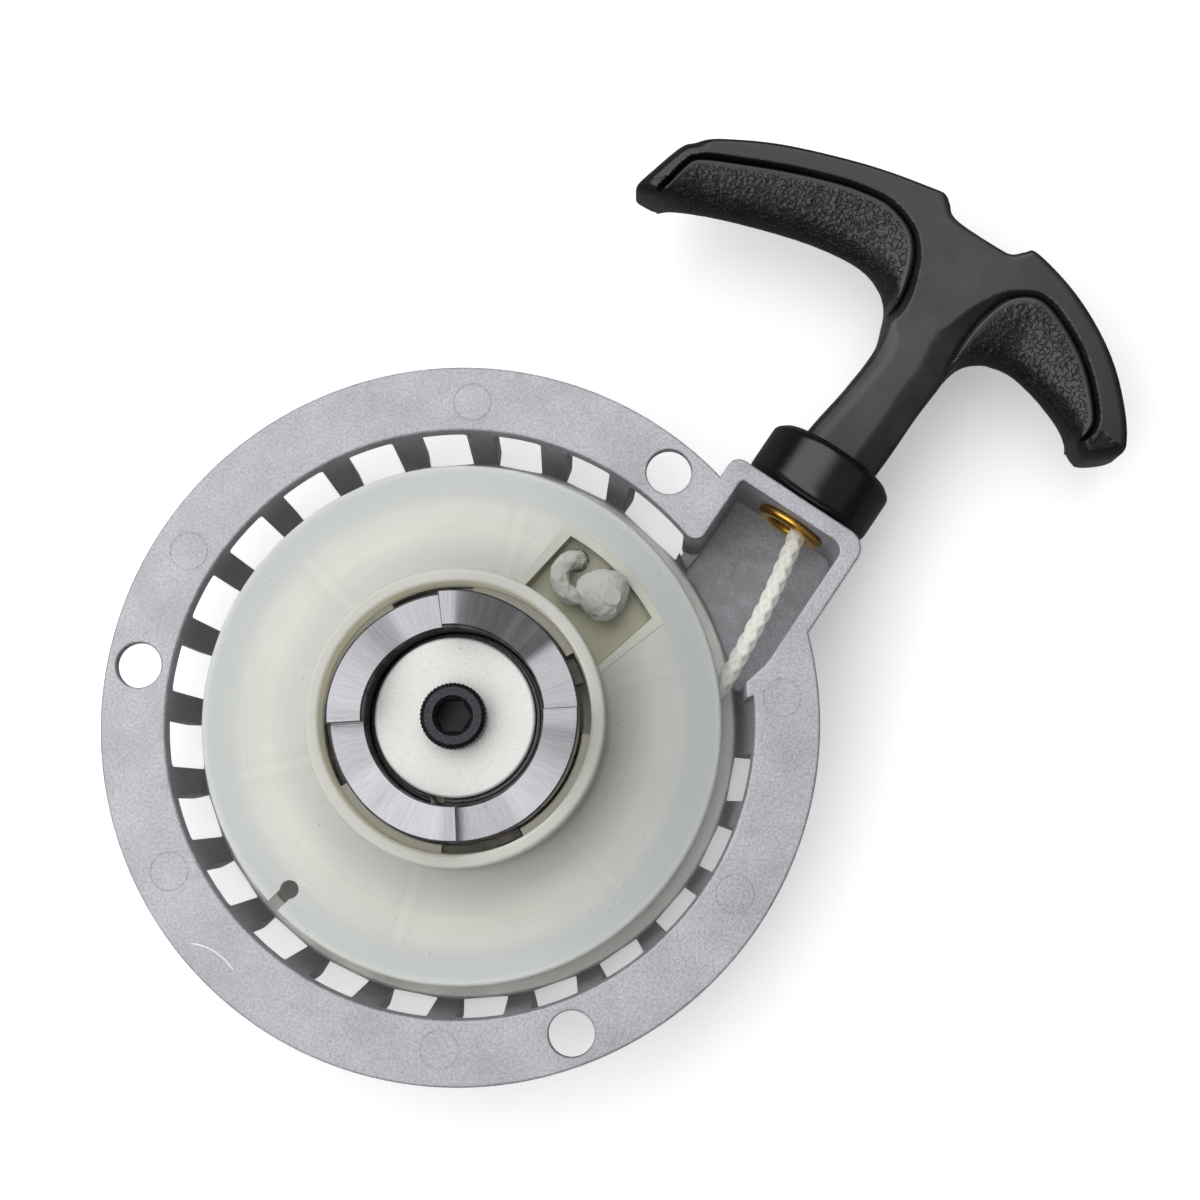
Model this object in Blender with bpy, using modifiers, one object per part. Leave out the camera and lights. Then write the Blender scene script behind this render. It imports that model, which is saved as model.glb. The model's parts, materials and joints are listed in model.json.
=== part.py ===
"""Recoil (pull) starter for a small two-stroke engine, as separate solids.

The origin is the centre of the flat back, on the reel's axis. +Z points to the engine, so the
starter lies on its back. Heights in this file are measured from the mounting flange's face, and
an empty that everything is parented to raises that face to its place above the back.
Sizes are in metres; most are written as a number of millimetres times MM.
"""

import math

import bmesh
import bpy
from mathutils import Matrix, Vector

MM = 0.001
GAP = 0.3 * MM  # clearance between pieces that touch on the real object

# ---- driving dimensions -------------------------------------------------------------------
FLANGE_R = 72.5 * MM
FLANGE_INNER_R = 59.4 * MM
FLANGE_THICK = 3.0 * MM
BOLT_CIRCLE_R = 66.0 * MM
BOLT_HOLE_R = 4.6 * MM
BOLT_FIRST_DEG = 50.1
PLATE_R = 56.9 * MM  # inner edge of the cage at the floor
PLATE_TOP = -24.5 * MM
PLATE_BOTTOM = -27.5 * MM
CAGE_PITCH_DEG = 15.0
CAGE_SLOT_DEG = 9.5
CAGE_FIRST_DEG = 64.0
CAGE_SLOTS = 20
WIDE_SLOT_DEG = (37.0, 54.5)
CUP_R = 36.5 * MM  # raised round centre of the back, which holds the mainspring
CUP_FLOOR = -28.5 * MM
BACK = -31.5 * MM

PULL_DEG = 56.0  # direction in which the rope is pulled
PULL_OFFSET = 33.0 * MM  # distance of the pull axis from the reel's axis
ROPE_Z = -12.0 * MM  # height of the pull axis
DUCT_LEFT = -17.0 * MM  # outer faces of the duct, across the pull axis
DUCT_RIGHT = 15.4 * MM
DUCT_WALL = 3.6 * MM
DUCT_END = 76.25 * MM  # outer face of the end wall, along the pull axis
DUCT_FLOOR = -26.0 * MM

REEL_RIM_R = 53.0 * MM
REEL_TOP = -4.5 * MM
REEL_BOTTOM = -23.3 * MM
DRUM_R = 38.3 * MM
COLLAR_R = 29.5 * MM
COLLAR_BORE_R = 26.9 * MM
COLLAR_TOP = 12.0 * MM
WELL_FLOOR = -3.0 * MM

ROPE_R = 1.8 * MM
WOUND_R = 40.6 * MM
ROW_PITCH = 3.8 * MM
ROPE_LEAVES_DEG = -30.0  # where the rope leaves the drum
ROPE_STARTS_DEG = 60.0  # where the rope comes up into the knot pocket
WOUND_DEG = 990.0

SPRING_PIN_R = 29.4 * MM  # where the mainspring's outer end is anchored
SPRING_PIN_DEG = 200.0

CLAW_R = 24.5 * MM
CLAW_BORE_R = 17.4 * MM
CLAW_BOTTOM = -2.5 * MM
CLAW_LOW = 13.0 * MM
CLAW_HIGH = 18.5 * MM
CLAW_TEETH = 4
CLAW_STEP_DEG = 4.0
LUG_DEG = 12.0
LUG_SLOT_END_DEG = 30.0  # a lug rests at this end of its slot and lags towards the other
LUG_SLOT_DEG = 36.5
RAMP_DEG = 17.0

WASHER_TOP = 11.0 * MM
WASHER_R = 15.8 * MM
SCREW_HEAD_R = 6.5 * MM
SCREW_HEAD_TOP = 16.3 * MM
SLEEVE_R = 7.5 * MM

HANDLE_HALF_THICK = 9.0 * MM
HANDLE_ROUND = 3.0 * MM
BOOT_R = 14.0 * MM
BOOT_LONG = 12.6 * MM
STEM_END = 80.6 * MM
KNOT_SEAT = 132.0 * MM

COLOURS = {
    "cast_aluminium": ((0.44, 0.44, 0.46), 0.45, 1.0),
    "machined_aluminium": ((0.62, 0.62, 0.64), 0.25, 1.0),
    "zinc_steel": ((0.80, 0.80, 0.78), 0.35, 1.0),
    "black_steel": ((0.02, 0.02, 0.022), 0.35, 1.0),
    "spring_steel": ((0.30, 0.30, 0.31), 0.35, 1.0),
    "brass": ((0.55, 0.36, 0.10), 0.35, 1.0),
    "nylon": ((0.72, 0.72, 0.62), 0.45, 0.0),
    "rope": ((0.85, 0.85, 0.80), 0.85, 0.0),
    "black_plastic": ((0.02, 0.02, 0.021), 0.40, 0.0),
    "black_rubber": ((0.012, 0.012, 0.012), 0.30, 0.0),
}


# ---- helpers ------------------------------------------------------------------------------
def clear_scene():
    for obj in list(bpy.data.objects):
        bpy.data.objects.remove(obj, do_unlink=True)


def new_collection(name, cutters=False):
    collection = bpy.data.collections.new(name)
    bpy.context.scene.collection.children.link(collection)
    collection.hide_render = cutters
    return collection


def make_material(name):
    colour, roughness, metallic = COLOURS[name]
    material = bpy.data.materials.new(name)
    material.use_nodes = True
    shader = material.node_tree.nodes["Principled BSDF"]
    shader.inputs["Base Color"].default_value = (*colour, 1.0)
    shader.inputs["Roughness"].default_value = roughness
    shader.inputs["Metallic"].default_value = metallic
    return material


def on_circle(radius, degrees):
    return radius * math.cos(math.radians(degrees)), radius * math.sin(math.radians(degrees))


def on_pull(across, along):
    """World x, y of a point given across the pull axis (to its right) and along it."""
    turn = math.radians(PULL_DEG)
    across += PULL_OFFSET
    return (
        along * math.cos(turn) + across * math.sin(turn),
        along * math.sin(turn) - across * math.cos(turn),
    )


def smooth(t):
    t = min(max(t, 0.0), 1.0)
    return t * t * (3 - 2 * t)


def arc(centre, radius, start_deg, end_deg, steps):
    """Points on an arc, both ends included."""
    turns = [start_deg + (end_deg - start_deg) * i / steps for i in range(steps + 1)]
    return [(centre[0] + on_circle(radius, a)[0], centre[1] + on_circle(radius, a)[1]) for a in turns]


def link(obj, collection, material=None):
    collection.objects.link(obj)
    obj.parent = FLANGE_FACE
    if material:
        obj.data.materials.append(MATERIALS[material])
    if collection is CUTTERS:
        obj.hide_render = True
        obj.display_type = "WIRE"
    return obj


def shade(obj):
    if obj.type == "MESH":
        obj.data.shade_smooth()
        obj.data.set_sharp_from_angle(angle=math.radians(35))
    return obj


def turned(name, profile, steps, collection, material=None):
    """A turned solid. The profile is a list of (radius, height), down the outer side. It's a
    closed loop unless it starts and ends on the axis."""
    mesh = bpy.data.meshes.new(name)
    points = [(r, 0.0, z) for r, z in profile]
    edges = [(i, i + 1) for i in range(len(points) - 1)]
    if profile[0][0] > 0:
        edges.append((len(points) - 1, 0))
    mesh.from_pydata(points, edges, [])
    obj = link(bpy.data.objects.new(name, mesh), collection, material)
    screw = obj.modifiers.new("turn", "SCREW")
    screw.axis = "Z"
    screw.steps = steps
    screw.render_steps = steps
    screw.use_merge_vertices = True
    screw.merge_threshold = 0.00001
    return obj


def cylinder(name, radius, bottom, top, sides, collection, material=None, centre=(0.0, 0.0)):
    bm = bmesh.new()
    place = Matrix.Translation((centre[0], centre[1], (bottom + top) / 2))
    bmesh.ops.create_cone(
        bm, cap_ends=True, segments=sides, radius1=radius, radius2=radius, depth=top - bottom, matrix=place
    )
    return from_bmesh(name, bm, collection, material)


def box(name, low, high, collection, material=None):
    bm = bmesh.new()
    low, high = Vector(low), Vector(high)
    size = Matrix.Diagonal((*(high - low), 1.0))
    bmesh.ops.create_cube(bm, size=1.0, matrix=Matrix.Translation((low + high) / 2) @ size)
    return from_bmesh(name, bm, collection, material)


def from_bmesh(name, bm, collection, material=None):
    mesh = bpy.data.meshes.new(name)
    bmesh.ops.recalc_face_normals(bm, faces=bm.faces)
    bm.to_mesh(mesh)
    bm.free()
    return link(bpy.data.objects.new(name, mesh), collection, material)


def as_mesh(curve_obj, collection, material=None, whole_caps=False):
    """Turns a curve object into a closed mesh object with the same name and place. whole_caps
    joins the triangles of flat ends into single faces, which Booleans cut more cleanly."""
    name = curve_obj.name
    bpy.context.view_layer.update()
    graph = bpy.context.evaluated_depsgraph_get()
    mesh = bpy.data.meshes.new_from_object(curve_obj.evaluated_get(graph))
    place = curve_obj.matrix_world.copy()
    bpy.data.objects.remove(curve_obj, do_unlink=True)
    bm = bmesh.new()
    bm.from_mesh(mesh)
    bmesh.ops.remove_doubles(bm, verts=bm.verts, dist=0.000002)
    if whole_caps:
        bmesh.ops.dissolve_limit(bm, angle_limit=0.001, verts=bm.verts, edges=bm.edges)
    bmesh.ops.recalc_face_normals(bm, faces=bm.faces)
    bm.to_mesh(mesh)
    bm.free()
    mesh.materials.clear()
    obj = link(bpy.data.objects.new(name, mesh), collection, material)
    obj.name = name
    obj.location = place.translation
    return obj


def prism(name, outline, bottom, top, collection, material=None):
    """A flat outline of (x, y) points, filled between two heights."""
    data = bpy.data.curves.new(name, "CURVE")
    data.dimensions = "2D"
    data.fill_mode = "BOTH"
    data.extrude = (top - bottom) / 2
    spline = data.splines.new("POLY")
    spline.points.add(len(outline) - 1)
    for point, (x, y) in zip(spline.points, outline):
        point.co = (x, y, 0.0, 1.0)
    spline.use_cyclic_u = True
    obj = bpy.data.objects.new(name, data)
    obj.location.z = (top + bottom) / 2
    bpy.context.scene.collection.objects.link(obj)
    solid = as_mesh(obj, collection, material, whole_caps=True)
    solid.data.transform(Matrix.Translation(solid.location))
    solid.location = (0.0, 0.0, 0.0)
    return solid


def wire(name, points, radius, collection, material=None):
    """A round wire or rope along the points, with filled ends."""
    data = bpy.data.curves.new(name, "CURVE")
    data.dimensions = "3D"
    data.bevel_depth = radius
    data.bevel_resolution = 2
    data.use_fill_caps = True
    spline = data.splines.new("POLY")
    spline.points.add(len(points) - 1)
    for point, co in zip(spline.points, points):
        point.co = (*co, 1.0)
    obj = bpy.data.objects.new(name, data)
    bpy.context.scene.collection.objects.link(obj)
    return as_mesh(obj, collection, material)


def ring_sector(name, inner, outer, start_deg, end_deg, heights, steps, collection):
    """Part of a ring. heights(share) gives its bottom and top at a share of its angle."""
    bm = bmesh.new()
    sections = []
    for i in range(steps + 1):
        share = i / steps
        turn = start_deg + (end_deg - start_deg) * share
        low, high = heights(share)
        near, far = on_circle(inner, turn), on_circle(outer, turn)
        corners = [(*near, low), (*far, low), (*far, high), (*near, high)]
        sections.append([bm.verts.new(c) for c in corners])
    for a, b in zip(sections, sections[1:]):
        for i in range(4):
            bm.faces.new((a[i], a[(i + 1) % 4], b[(i + 1) % 4], b[i]))
    bm.faces.new(sections[0])
    bm.faces.new(reversed(sections[-1]))
    bmesh.ops.triangulate(bm, faces=bm.faces)
    return from_bmesh(name, bm, collection)


def combine(target, operation, *others):
    for other in others:
        step = target.modifiers.new(f"{operation.lower()} {other.name}", "BOOLEAN")
        step.operation = operation
        step.object = other
    return target


def cut(target, *cutters):
    return combine(target, "DIFFERENCE", *cutters)


def join(target, *pieces):
    return combine(target, "UNION", *pieces)


def align_to_pull(obj, along):
    """Lays a piece turned about Z on the pull axis, its base at that distance along the axis."""
    obj.parent = PULL_AXIS
    obj.location = (0.0, along - DUCT_END, 0.0)
    obj.rotation_euler = (math.radians(-90), 0.0, 0.0)
    return obj


def bezier(p0, p1, p2, p3, steps):
    """Points on a cubic curve between p0 and p3, all (x, y, z)."""
    result = []
    for i in range(steps + 1):
        t = i / steps
        weights = ((1 - t) ** 3, 3 * t * (1 - t) ** 2, 3 * t * t * (1 - t), t**3)
        result.append(tuple(sum(w * p[k] for w, p in zip(weights, (p0, p1, p2, p3))) for k in range(3)))
    return result


# ---- housing ------------------------------------------------------------------------------
def housing_shell():
    """Flange, cage wall, back plate, mainspring cup and the boss for the hub screw."""
    return [
        (0.0, -30.0 * MM),
        (4.2 * MM, -30.0 * MM),
        (4.2 * MM, -21.0 * MM),
        (10.0 * MM, -21.0 * MM),
        (10.5 * MM, CUP_FLOOR),
        (33.0 * MM, CUP_FLOOR),
        (33.0 * MM, -18.5 * MM),
        (35.2 * MM, -18.5 * MM),
        (35.6 * MM, PLATE_TOP),
        (PLATE_R, PLATE_TOP),
        (FLANGE_INNER_R, 0.0),
        (FLANGE_R, 0.0),
        (FLANGE_R, -FLANGE_THICK),
        (62.6 * MM, -FLANGE_THICK),
        (60.2 * MM, PLATE_BOTTOM),
        (41.0 * MM, PLATE_BOTTOM),
        (CUP_R, BACK),
        (0.0, BACK),
    ]


def cage_slots():
    """One cutter for each opening between two ribs of the cage."""
    spans = []
    for i in range(CAGE_SLOTS):
        centre = CAGE_FIRST_DEG + CAGE_PITCH_DEG * i
        spans.append((centre - CAGE_SLOT_DEG / 2, centre + CAGE_SLOT_DEG / 2))
    spans.append(WIDE_SLOT_DEG)
    inner, outer = 56.7 * MM, 66.0 * MM
    bottom, top = -34.0 * MM, -FLANGE_THICK - 0.2 * MM
    bm = bmesh.new()
    for start, end in spans:
        steps = max(2, round((end - start) / 5))
        piece = ring_sector("slot", inner, outer, start, end, lambda share: (bottom, top), steps, CUTTERS)
        bm.from_mesh(piece.data)
        bpy.data.objects.remove(piece, do_unlink=True)
    return from_bmesh("cage_slots", bm, CUTTERS)


def duct_outline():
    """Outside of the duct box, as a closed outline that reaches into the flange."""
    corner = 4.0 * MM
    left, right, end = DUCT_LEFT, DUCT_RIGHT, DUCT_END
    points = [(left, 57.5 * MM)]
    points += arc((left + 2.5 * MM, end - 2.5 * MM), 2.5 * MM, 180, 90, 3)
    points += arc((right - corner, end - corner), corner, 90, 0, 4)
    points.append((right, 40.0 * MM))
    points.append((right - 3.0 * MM, 36.0 * MM))
    outline = [on_pull(*p) for p in points]
    inner = [on_circle(58.2 * MM, a) for a in (8, 14, 20, 26, 32, 36.5)]
    return outline + inner


def duct_pocket():
    """Inside of the duct: open to the engine side and to the reel."""
    left, right, end = DUCT_LEFT + DUCT_WALL + 0.4 * MM, DUCT_RIGHT - DUCT_WALL, DUCT_END - DUCT_WALL
    corner = 3.0 * MM
    points = [(left - 1.0 * MM, 57.0 * MM)]
    points += [(left, end)]
    points += arc((right - corner, end - corner), corner, 90, 0, 3)
    points += [(right, 44.0 * MM), (right - 1.0 * MM, 40.0 * MM)]
    outline = [on_pull(*p) for p in points]
    inner = [on_circle(PLATE_R, a) for a in (4, 9, 14, 19, 24, 29, 34, 39)]
    return outline + inner


def build_housing():
    """One casting: shell, cage openings, bolt holes and the rope duct."""
    housing = turned("housing", housing_shell(), 72, PARTS, "cast_aluminium")
    cut(housing, cage_slots())
    for i in range(3):
        centre = on_circle(BOLT_CIRCLE_R, BOLT_FIRST_DEG + 120 * i)
        hole = cylinder(f"bolt_hole_{i}", BOLT_HOLE_R, -6 * MM, 3 * MM, 24, CUTTERS, centre=centre)
        cut(housing, hole)
    join(housing, prism("duct_block", duct_outline(), -28.0 * MM, 0.0, CUTTERS))
    cut(housing, prism("duct_pocket", duct_pocket(), DUCT_FLOOR, 1.0 * MM, CUTTERS))
    eyelet_hole = cylinder("eyelet_hole", 6.0 * MM, -8 * MM, 4 * MM, 24, CUTTERS)
    cut(housing, align_to_pull(eyelet_hole, DUCT_END))
    pin_hole = cylinder("anchor_hole", 1.8 * MM, -30.2 * MM, -26 * MM, 12, CUTTERS, centre=anchor_place())
    cut(housing, pin_hole)
    return housing


def build_eyelet():
    """Brass bush with a collar on the inside of the duct's end wall."""
    inside = -DUCT_WALL - GAP
    profile = [
        (4.6 * MM, -GAP),
        (5.7 * MM, -GAP),
        (5.7 * MM, inside),
        (7.5 * MM, inside),
        (7.5 * MM, inside - 0.9 * MM),
        (6.6 * MM, inside - 1.5 * MM),
        (5.2 * MM, inside - 1.5 * MM),
        (4.6 * MM, inside - 0.8 * MM),
    ]
    eyelet = turned("rope_eyelet", profile, 32, PARTS, "brass")
    return align_to_pull(eyelet, DUCT_END)


# ---- axle and mainspring ------------------------------------------------------------------
def build_axle():
    """The steel sleeve the reel turns on and the washer under the reel's hub."""
    sleeve = [(4.3 * MM, 5.2 * MM), (SLEEVE_R, 5.2 * MM), (SLEEVE_R, -20.7 * MM), (4.3 * MM, -20.7 * MM)]
    turned("axle_sleeve", sleeve, 40, PARTS, "zinc_steel")
    inner, outer, top, bottom = 7.8 * MM, 12.5 * MM, -19.7 * MM, -20.7 * MM
    washer = [(inner, top), (outer, top), (outer, bottom), (inner, bottom)]
    turned("thrust_washer", washer, 40, PARTS, "zinc_steel")


def anchor_place():
    return on_circle(SPRING_PIN_R, SPRING_PIN_DEG)


def mainspring_path():
    """The strip from its hook round the anchor pin, inwards to just outside the reel's hub."""
    hook_r, first_drop = 2.35 * MM, 5.6 * MM
    turns, inner_r, per_turn = 5, 14.2 * MM, 30
    outer_r = SPRING_PIN_R + hook_r
    start_r = outer_r - first_drop
    points = arc(anchor_place(), hook_r, SPRING_PIN_DEG - 200, SPRING_PIN_DEG, 6)[:-1]
    for i in range(35):
        share = i / 34
        points.append(on_circle(outer_r - first_drop * smooth(share), SPRING_PIN_DEG + 360 * share))
    for i in range(1, turns * per_turn + 1):
        share = i / (turns * per_turn)
        radius = start_r + (inner_r - start_r) * share
        points.append(on_circle(radius, SPRING_PIN_DEG + 360 * turns * share))
    points.append(on_circle(inner_r - 1.0 * MM, SPRING_PIN_DEG + 14))
    return points


def build_mainspring():
    """A flat spiral of steel strip: an open ribbon, thickened."""
    data = bpy.data.curves.new("mainspring", "CURVE")
    data.dimensions = "3D"
    data.extrude = 4.6 * MM
    spline = data.splines.new("POLY")
    path = mainspring_path()
    spline.points.add(len(path) - 1)
    for point, (x, y) in zip(spline.points, path):
        point.co = (x, y, 0.0, 1.0)
        point.tilt = 0.0
    data.twist_mode = "Z_UP"
    obj = bpy.data.objects.new("mainspring", data)
    obj.location.z = -23.5 * MM
    bpy.context.scene.collection.objects.link(obj)
    spring = as_mesh(obj, PARTS, "spring_steel")
    solid = spring.modifiers.new("thickness", "SOLIDIFY")
    solid.thickness = 0.6 * MM
    solid.offset = 0.0
    cylinder("spring_anchor_pin", 1.5 * MM, -29.9 * MM, -18.6 * MM, 16, PARTS, "zinc_steel", anchor_place())


# ---- reel ---------------------------------------------------------------------------------
def reel_profile():
    ledge_r, ledge_low, ledge_high = 24.95 * MM, 3.0 * MM, 5.0 * MM
    return [
        (SLEEVE_R + GAP, 4.9 * MM),
        (17.1 * MM, 4.9 * MM),
        (17.1 * MM, WELL_FLOOR),
        (COLLAR_BORE_R, WELL_FLOOR),
        (COLLAR_BORE_R, ledge_low),
        (ledge_r, ledge_low),
        (ledge_r, ledge_high),
        (COLLAR_BORE_R, ledge_high),
        (COLLAR_BORE_R, COLLAR_TOP),
        (COLLAR_R, COLLAR_TOP),
        (COLLAR_R, REEL_TOP),
        (REEL_RIM_R, REEL_TOP),
        (REEL_RIM_R, REEL_TOP - 2.0 * MM),
        (DRUM_R, REEL_TOP - 2.0 * MM),
        (DRUM_R, REEL_BOTTOM + 1.5 * MM),
        (REEL_RIM_R, REEL_BOTTOM + 1.5 * MM),
        (REEL_RIM_R, REEL_BOTTOM),
        (36.5 * MM, REEL_BOTTOM),
        (36.5 * MM, -8.0 * MM),
        (12.0 * MM, -8.0 * MM),
        (12.0 * MM, -19.4 * MM),
        (SLEEVE_R + GAP, -19.4 * MM),
    ]


def pocket_outline(margin):
    """The knot pocket between the collar and an arc near the rim, grown by a margin."""
    outer_r = 44.2 * MM + margin
    inner_r = COLLAR_R + 0.2 * MM - margin
    outer_margin = math.degrees(margin / outer_r) * 1.1
    inner_margin = math.degrees(margin / inner_r) * 1.1
    outer = [on_circle(outer_r, 28.6 - outer_margin + (31.2 + 2 * outer_margin) * i / 4) for i in range(5)]
    inner = [on_circle(inner_r, 66.0 + inner_margin - (44.0 + 2 * inner_margin) * i / 4) for i in range(5)]
    return outer + inner


def build_reel():
    """Drum, front and back disc, collar, knot pocket, keyhole notch and the lugs' slots."""
    reel = turned("reel", reel_profile(), 60, PARTS, "nylon")
    join(reel, prism("pocket_boss", pocket_outline(2.0 * MM), -9.9 * MM, REEL_TOP - 0.5 * MM, CUTTERS))
    cut(reel, prism("pocket", pocket_outline(0.0), -8.4 * MM, 0.0, CUTTERS))
    hole_place = on_circle(41.0 * MM, 55)
    cut(reel, cylinder("rope_hole", 2.4 * MM, -11 * MM, -7 * MM, 16, CUTTERS, centre=hole_place))
    for i in range(6):
        rib = box(f"reel_rib_{i}", (38 * MM, -0.9 * MM, -9.5 * MM), (47.5 * MM, 0.9 * MM, -5.5 * MM), CUTTERS)
        rib.rotation_euler.z = math.radians(14 + 60 * i)
        join(reel, rib)
    keyhole = box("keyhole", (45.8 * MM, -2.2 * MM, -8 * MM), (55 * MM, 2.2 * MM, 0.0), CUTTERS)
    keyhole.rotation_euler.z = math.radians(224.2)
    cut(reel, keyhole)
    slot_start = LUG_SLOT_END_DEG - LUG_SLOT_DEG
    cut(reel, ring_of_sectors("lug_slots", slot_start, LUG_SLOT_DEG, 24.2 * MM, slot_heights))
    join(reel, ring_of_sectors("lug_ramps", slot_start + 0.4, RAMP_DEG, 25.05 * MM, ramp_heights))
    return reel


def slot_heights(share):
    """The opening in the ledge that a lug rises through."""
    return 2.5 * MM, 5.6 * MM


def ramp_heights(share):
    """The ramp that lifts a lug as the claw ring lags: high where the slot starts."""
    high, low = 2.8 * MM, -1.7 * MM
    return WELL_FLOOR - 0.7 * MM, high + (low - high) * share


def ring_of_sectors(name, start_deg, wide_deg, inner, heights):
    """Four equal sectors in the gap between the claw ring and the collar."""
    bm = bmesh.new()
    for i in range(CLAW_TEETH):
        start = start_deg + 90 * i
        piece = ring_sector("sector", inner, 26.6 * MM, start, start + wide_deg, heights, 5, CUTTERS)
        bm.from_mesh(piece.data)
        bpy.data.objects.remove(piece, do_unlink=True)
    return from_bmesh(name, bm, CUTTERS)


# ---- claw ---------------------------------------------------------------------------------
def tooth_height(degrees):
    """Height of the claw's face. Each tooth has a steep front, a land, a slope and a low land."""
    after_step = (CLAW_STEP_DEG - degrees) % (360 / CLAW_TEETH)
    if after_step < 10:
        return CLAW_HIGH
    if after_step > 60:
        return CLAW_LOW
    return CLAW_HIGH + (CLAW_LOW - CLAW_HIGH) * (after_step - 10) / 50


def claw_angles():
    angles = []
    for i in range(CLAW_TEETH):
        step = CLAW_STEP_DEG + 90 * i
        angles += [step - 0.01, step + 0.6]
        angles += [step - 10 - 12.5 * k for k in range(5)]
        angles += [step - 67, step - 75, step - 82]
    return sorted(angles)


def lug_heights(share):
    return CLAW_BOTTOM + 0.05 * MM, CLAW_BOTTOM + 3.0 * MM


def build_claw():
    """Toothed ring with four lugs and the groove that the friction spring's tail sits in."""
    bm = bmesh.new()
    rings = []
    for turn in claw_angles():
        near, far = on_circle(CLAW_BORE_R, turn), on_circle(CLAW_R, turn)
        top = tooth_height(turn)
        corners = [(*near, CLAW_BOTTOM), (*far, CLAW_BOTTOM), (*far, top), (*near, top)]
        rings.append([bm.verts.new(c) for c in corners])
    for a, b in zip(rings, rings[1:] + rings[:1]):
        for i in range(4):
            bm.faces.new((a[i], a[(i + 1) % 4], b[(i + 1) % 4], b[i]))
    claw = from_bmesh("claw_ring", bm, PARTS, "machined_aluminium")
    for i in range(CLAW_TEETH):
        start = LUG_SLOT_END_DEG - 1.0 - LUG_DEG + 90 * i
        end = start + LUG_DEG
        join(claw, ring_sector(f"claw_lug_{i}", 23.0 * MM, 26.2 * MM, start, end, lug_heights, 3, CUTTERS))
    groove = box("claw_groove", (14 * MM, -1.5 * MM, -5 * MM), (19.4 * MM, 1.5 * MM, 8.4 * MM), CUTTERS)
    groove.rotation_euler.z = math.radians(255.5)
    cut(claw, groove)
    claw.parent = REEL_AXIS
    return claw


def build_friction_spring():
    """An open ring of wire that grips the fixed washer; its tail turns with the claw ring."""
    radius, height = 16.1 * MM, 6.9 * MM
    points = [(*on_circle(radius, 262 + 350 * i / 44), height) for i in range(45)]
    turn = 255.5
    points[-1] = (*on_circle(radius, turn - 2.5), height)
    points.append((*on_circle(radius + 0.7 * MM, turn - 0.6), height))
    points.append((*on_circle(radius + 2.1 * MM, turn), height))
    return wire("friction_spring", points, 0.7 * MM, PARTS, "spring_steel")


def build_hub_fasteners():
    """The stepped washer that keeps the reel on its sleeve, and the screw that clamps both."""
    low, rim = 5.5 * MM, 8.6 * MM
    washer = [
        (4.3 * MM, WASHER_TOP),
        (WASHER_R - 0.4 * MM, WASHER_TOP),
        (WASHER_R, WASHER_TOP - 0.4 * MM),
        (WASHER_R, rim),
        (14.9 * MM, rim),
        (14.9 * MM, low),
        (4.3 * MM, low),
    ]
    turned("retaining_washer", washer, 48, PARTS, "zinc_steel")
    seat = WASHER_TOP + GAP
    screw_profile = [
        (0.0, SCREW_HEAD_TOP),
        (SCREW_HEAD_R - 0.7 * MM, SCREW_HEAD_TOP),
        (SCREW_HEAD_R, SCREW_HEAD_TOP - 0.7 * MM),
        (SCREW_HEAD_R, seat),
        (3.9 * MM, seat),
        (3.9 * MM, -28.2 * MM),
        (3.2 * MM, -28.9 * MM),
        (0.0, -28.9 * MM),
    ]
    screw = turned("hub_screw", screw_profile, 32, PARTS, "black_steel")
    socket_r = 3.0 * MM / math.cos(math.radians(30))
    socket = cylinder("hex_socket", socket_r, SCREW_HEAD_TOP - 3.5 * MM, SCREW_HEAD_TOP + 1 * MM, 6, CUTTERS)
    cut(screw, socket)


# ---- rope ---------------------------------------------------------------------------------
def build_rope_coil():
    """Rope wound on the drum in rows, with a step to the next row late in each turn."""
    points = []
    count = 100
    for i in range(count + 1):
        wound = WOUND_DEG * i / count
        turns, part = divmod(wound, 360)
        row = turns + smooth((part - 318) / 42)
        height = ROPE_Z - ROW_PITCH * row
        points.append((*on_circle(WOUND_R, ROPE_STARTS_DEG + wound), height))
    coil = wire("rope_coil", points, ROPE_R, PARTS, "rope")
    coil.parent = REEL_AXIS


def build_rope_knot():
    """The knot in the reel's pocket and the loop that comes up to it from the drum."""
    centre = (*on_circle(38.2 * MM, 42.0), -3.1 * MM)
    start = on_circle(41.0 * MM, 55)
    loop = [
        (*start, -9.0 * MM),
        (*start, -6.6 * MM),
        (*on_circle(39.6 * MM, 57.4), -4.6 * MM),
        (*on_circle(36.8 * MM, 58.4), -4.4 * MM),
        (*on_circle(34.4 * MM, 55.0), -4.6 * MM),
        (*on_circle(34.2 * MM, 49.0), -4.4 * MM),
        centre,
    ]
    bm = bmesh.new()
    place = Matrix.Translation(centre) @ Matrix.Diagonal((5.1 * MM, 5.1 * MM, 4.7 * MM, 1.0))
    bmesh.ops.create_uvsphere(bm, u_segments=16, v_segments=10, radius=1.0, matrix=place)
    knot = from_bmesh("rope_knot_reel", bm, PARTS, "rope")
    join(knot, wire("knot_loop", loop, ROPE_R, CUTTERS))
    knot.parent = REEL_AXIS


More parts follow.
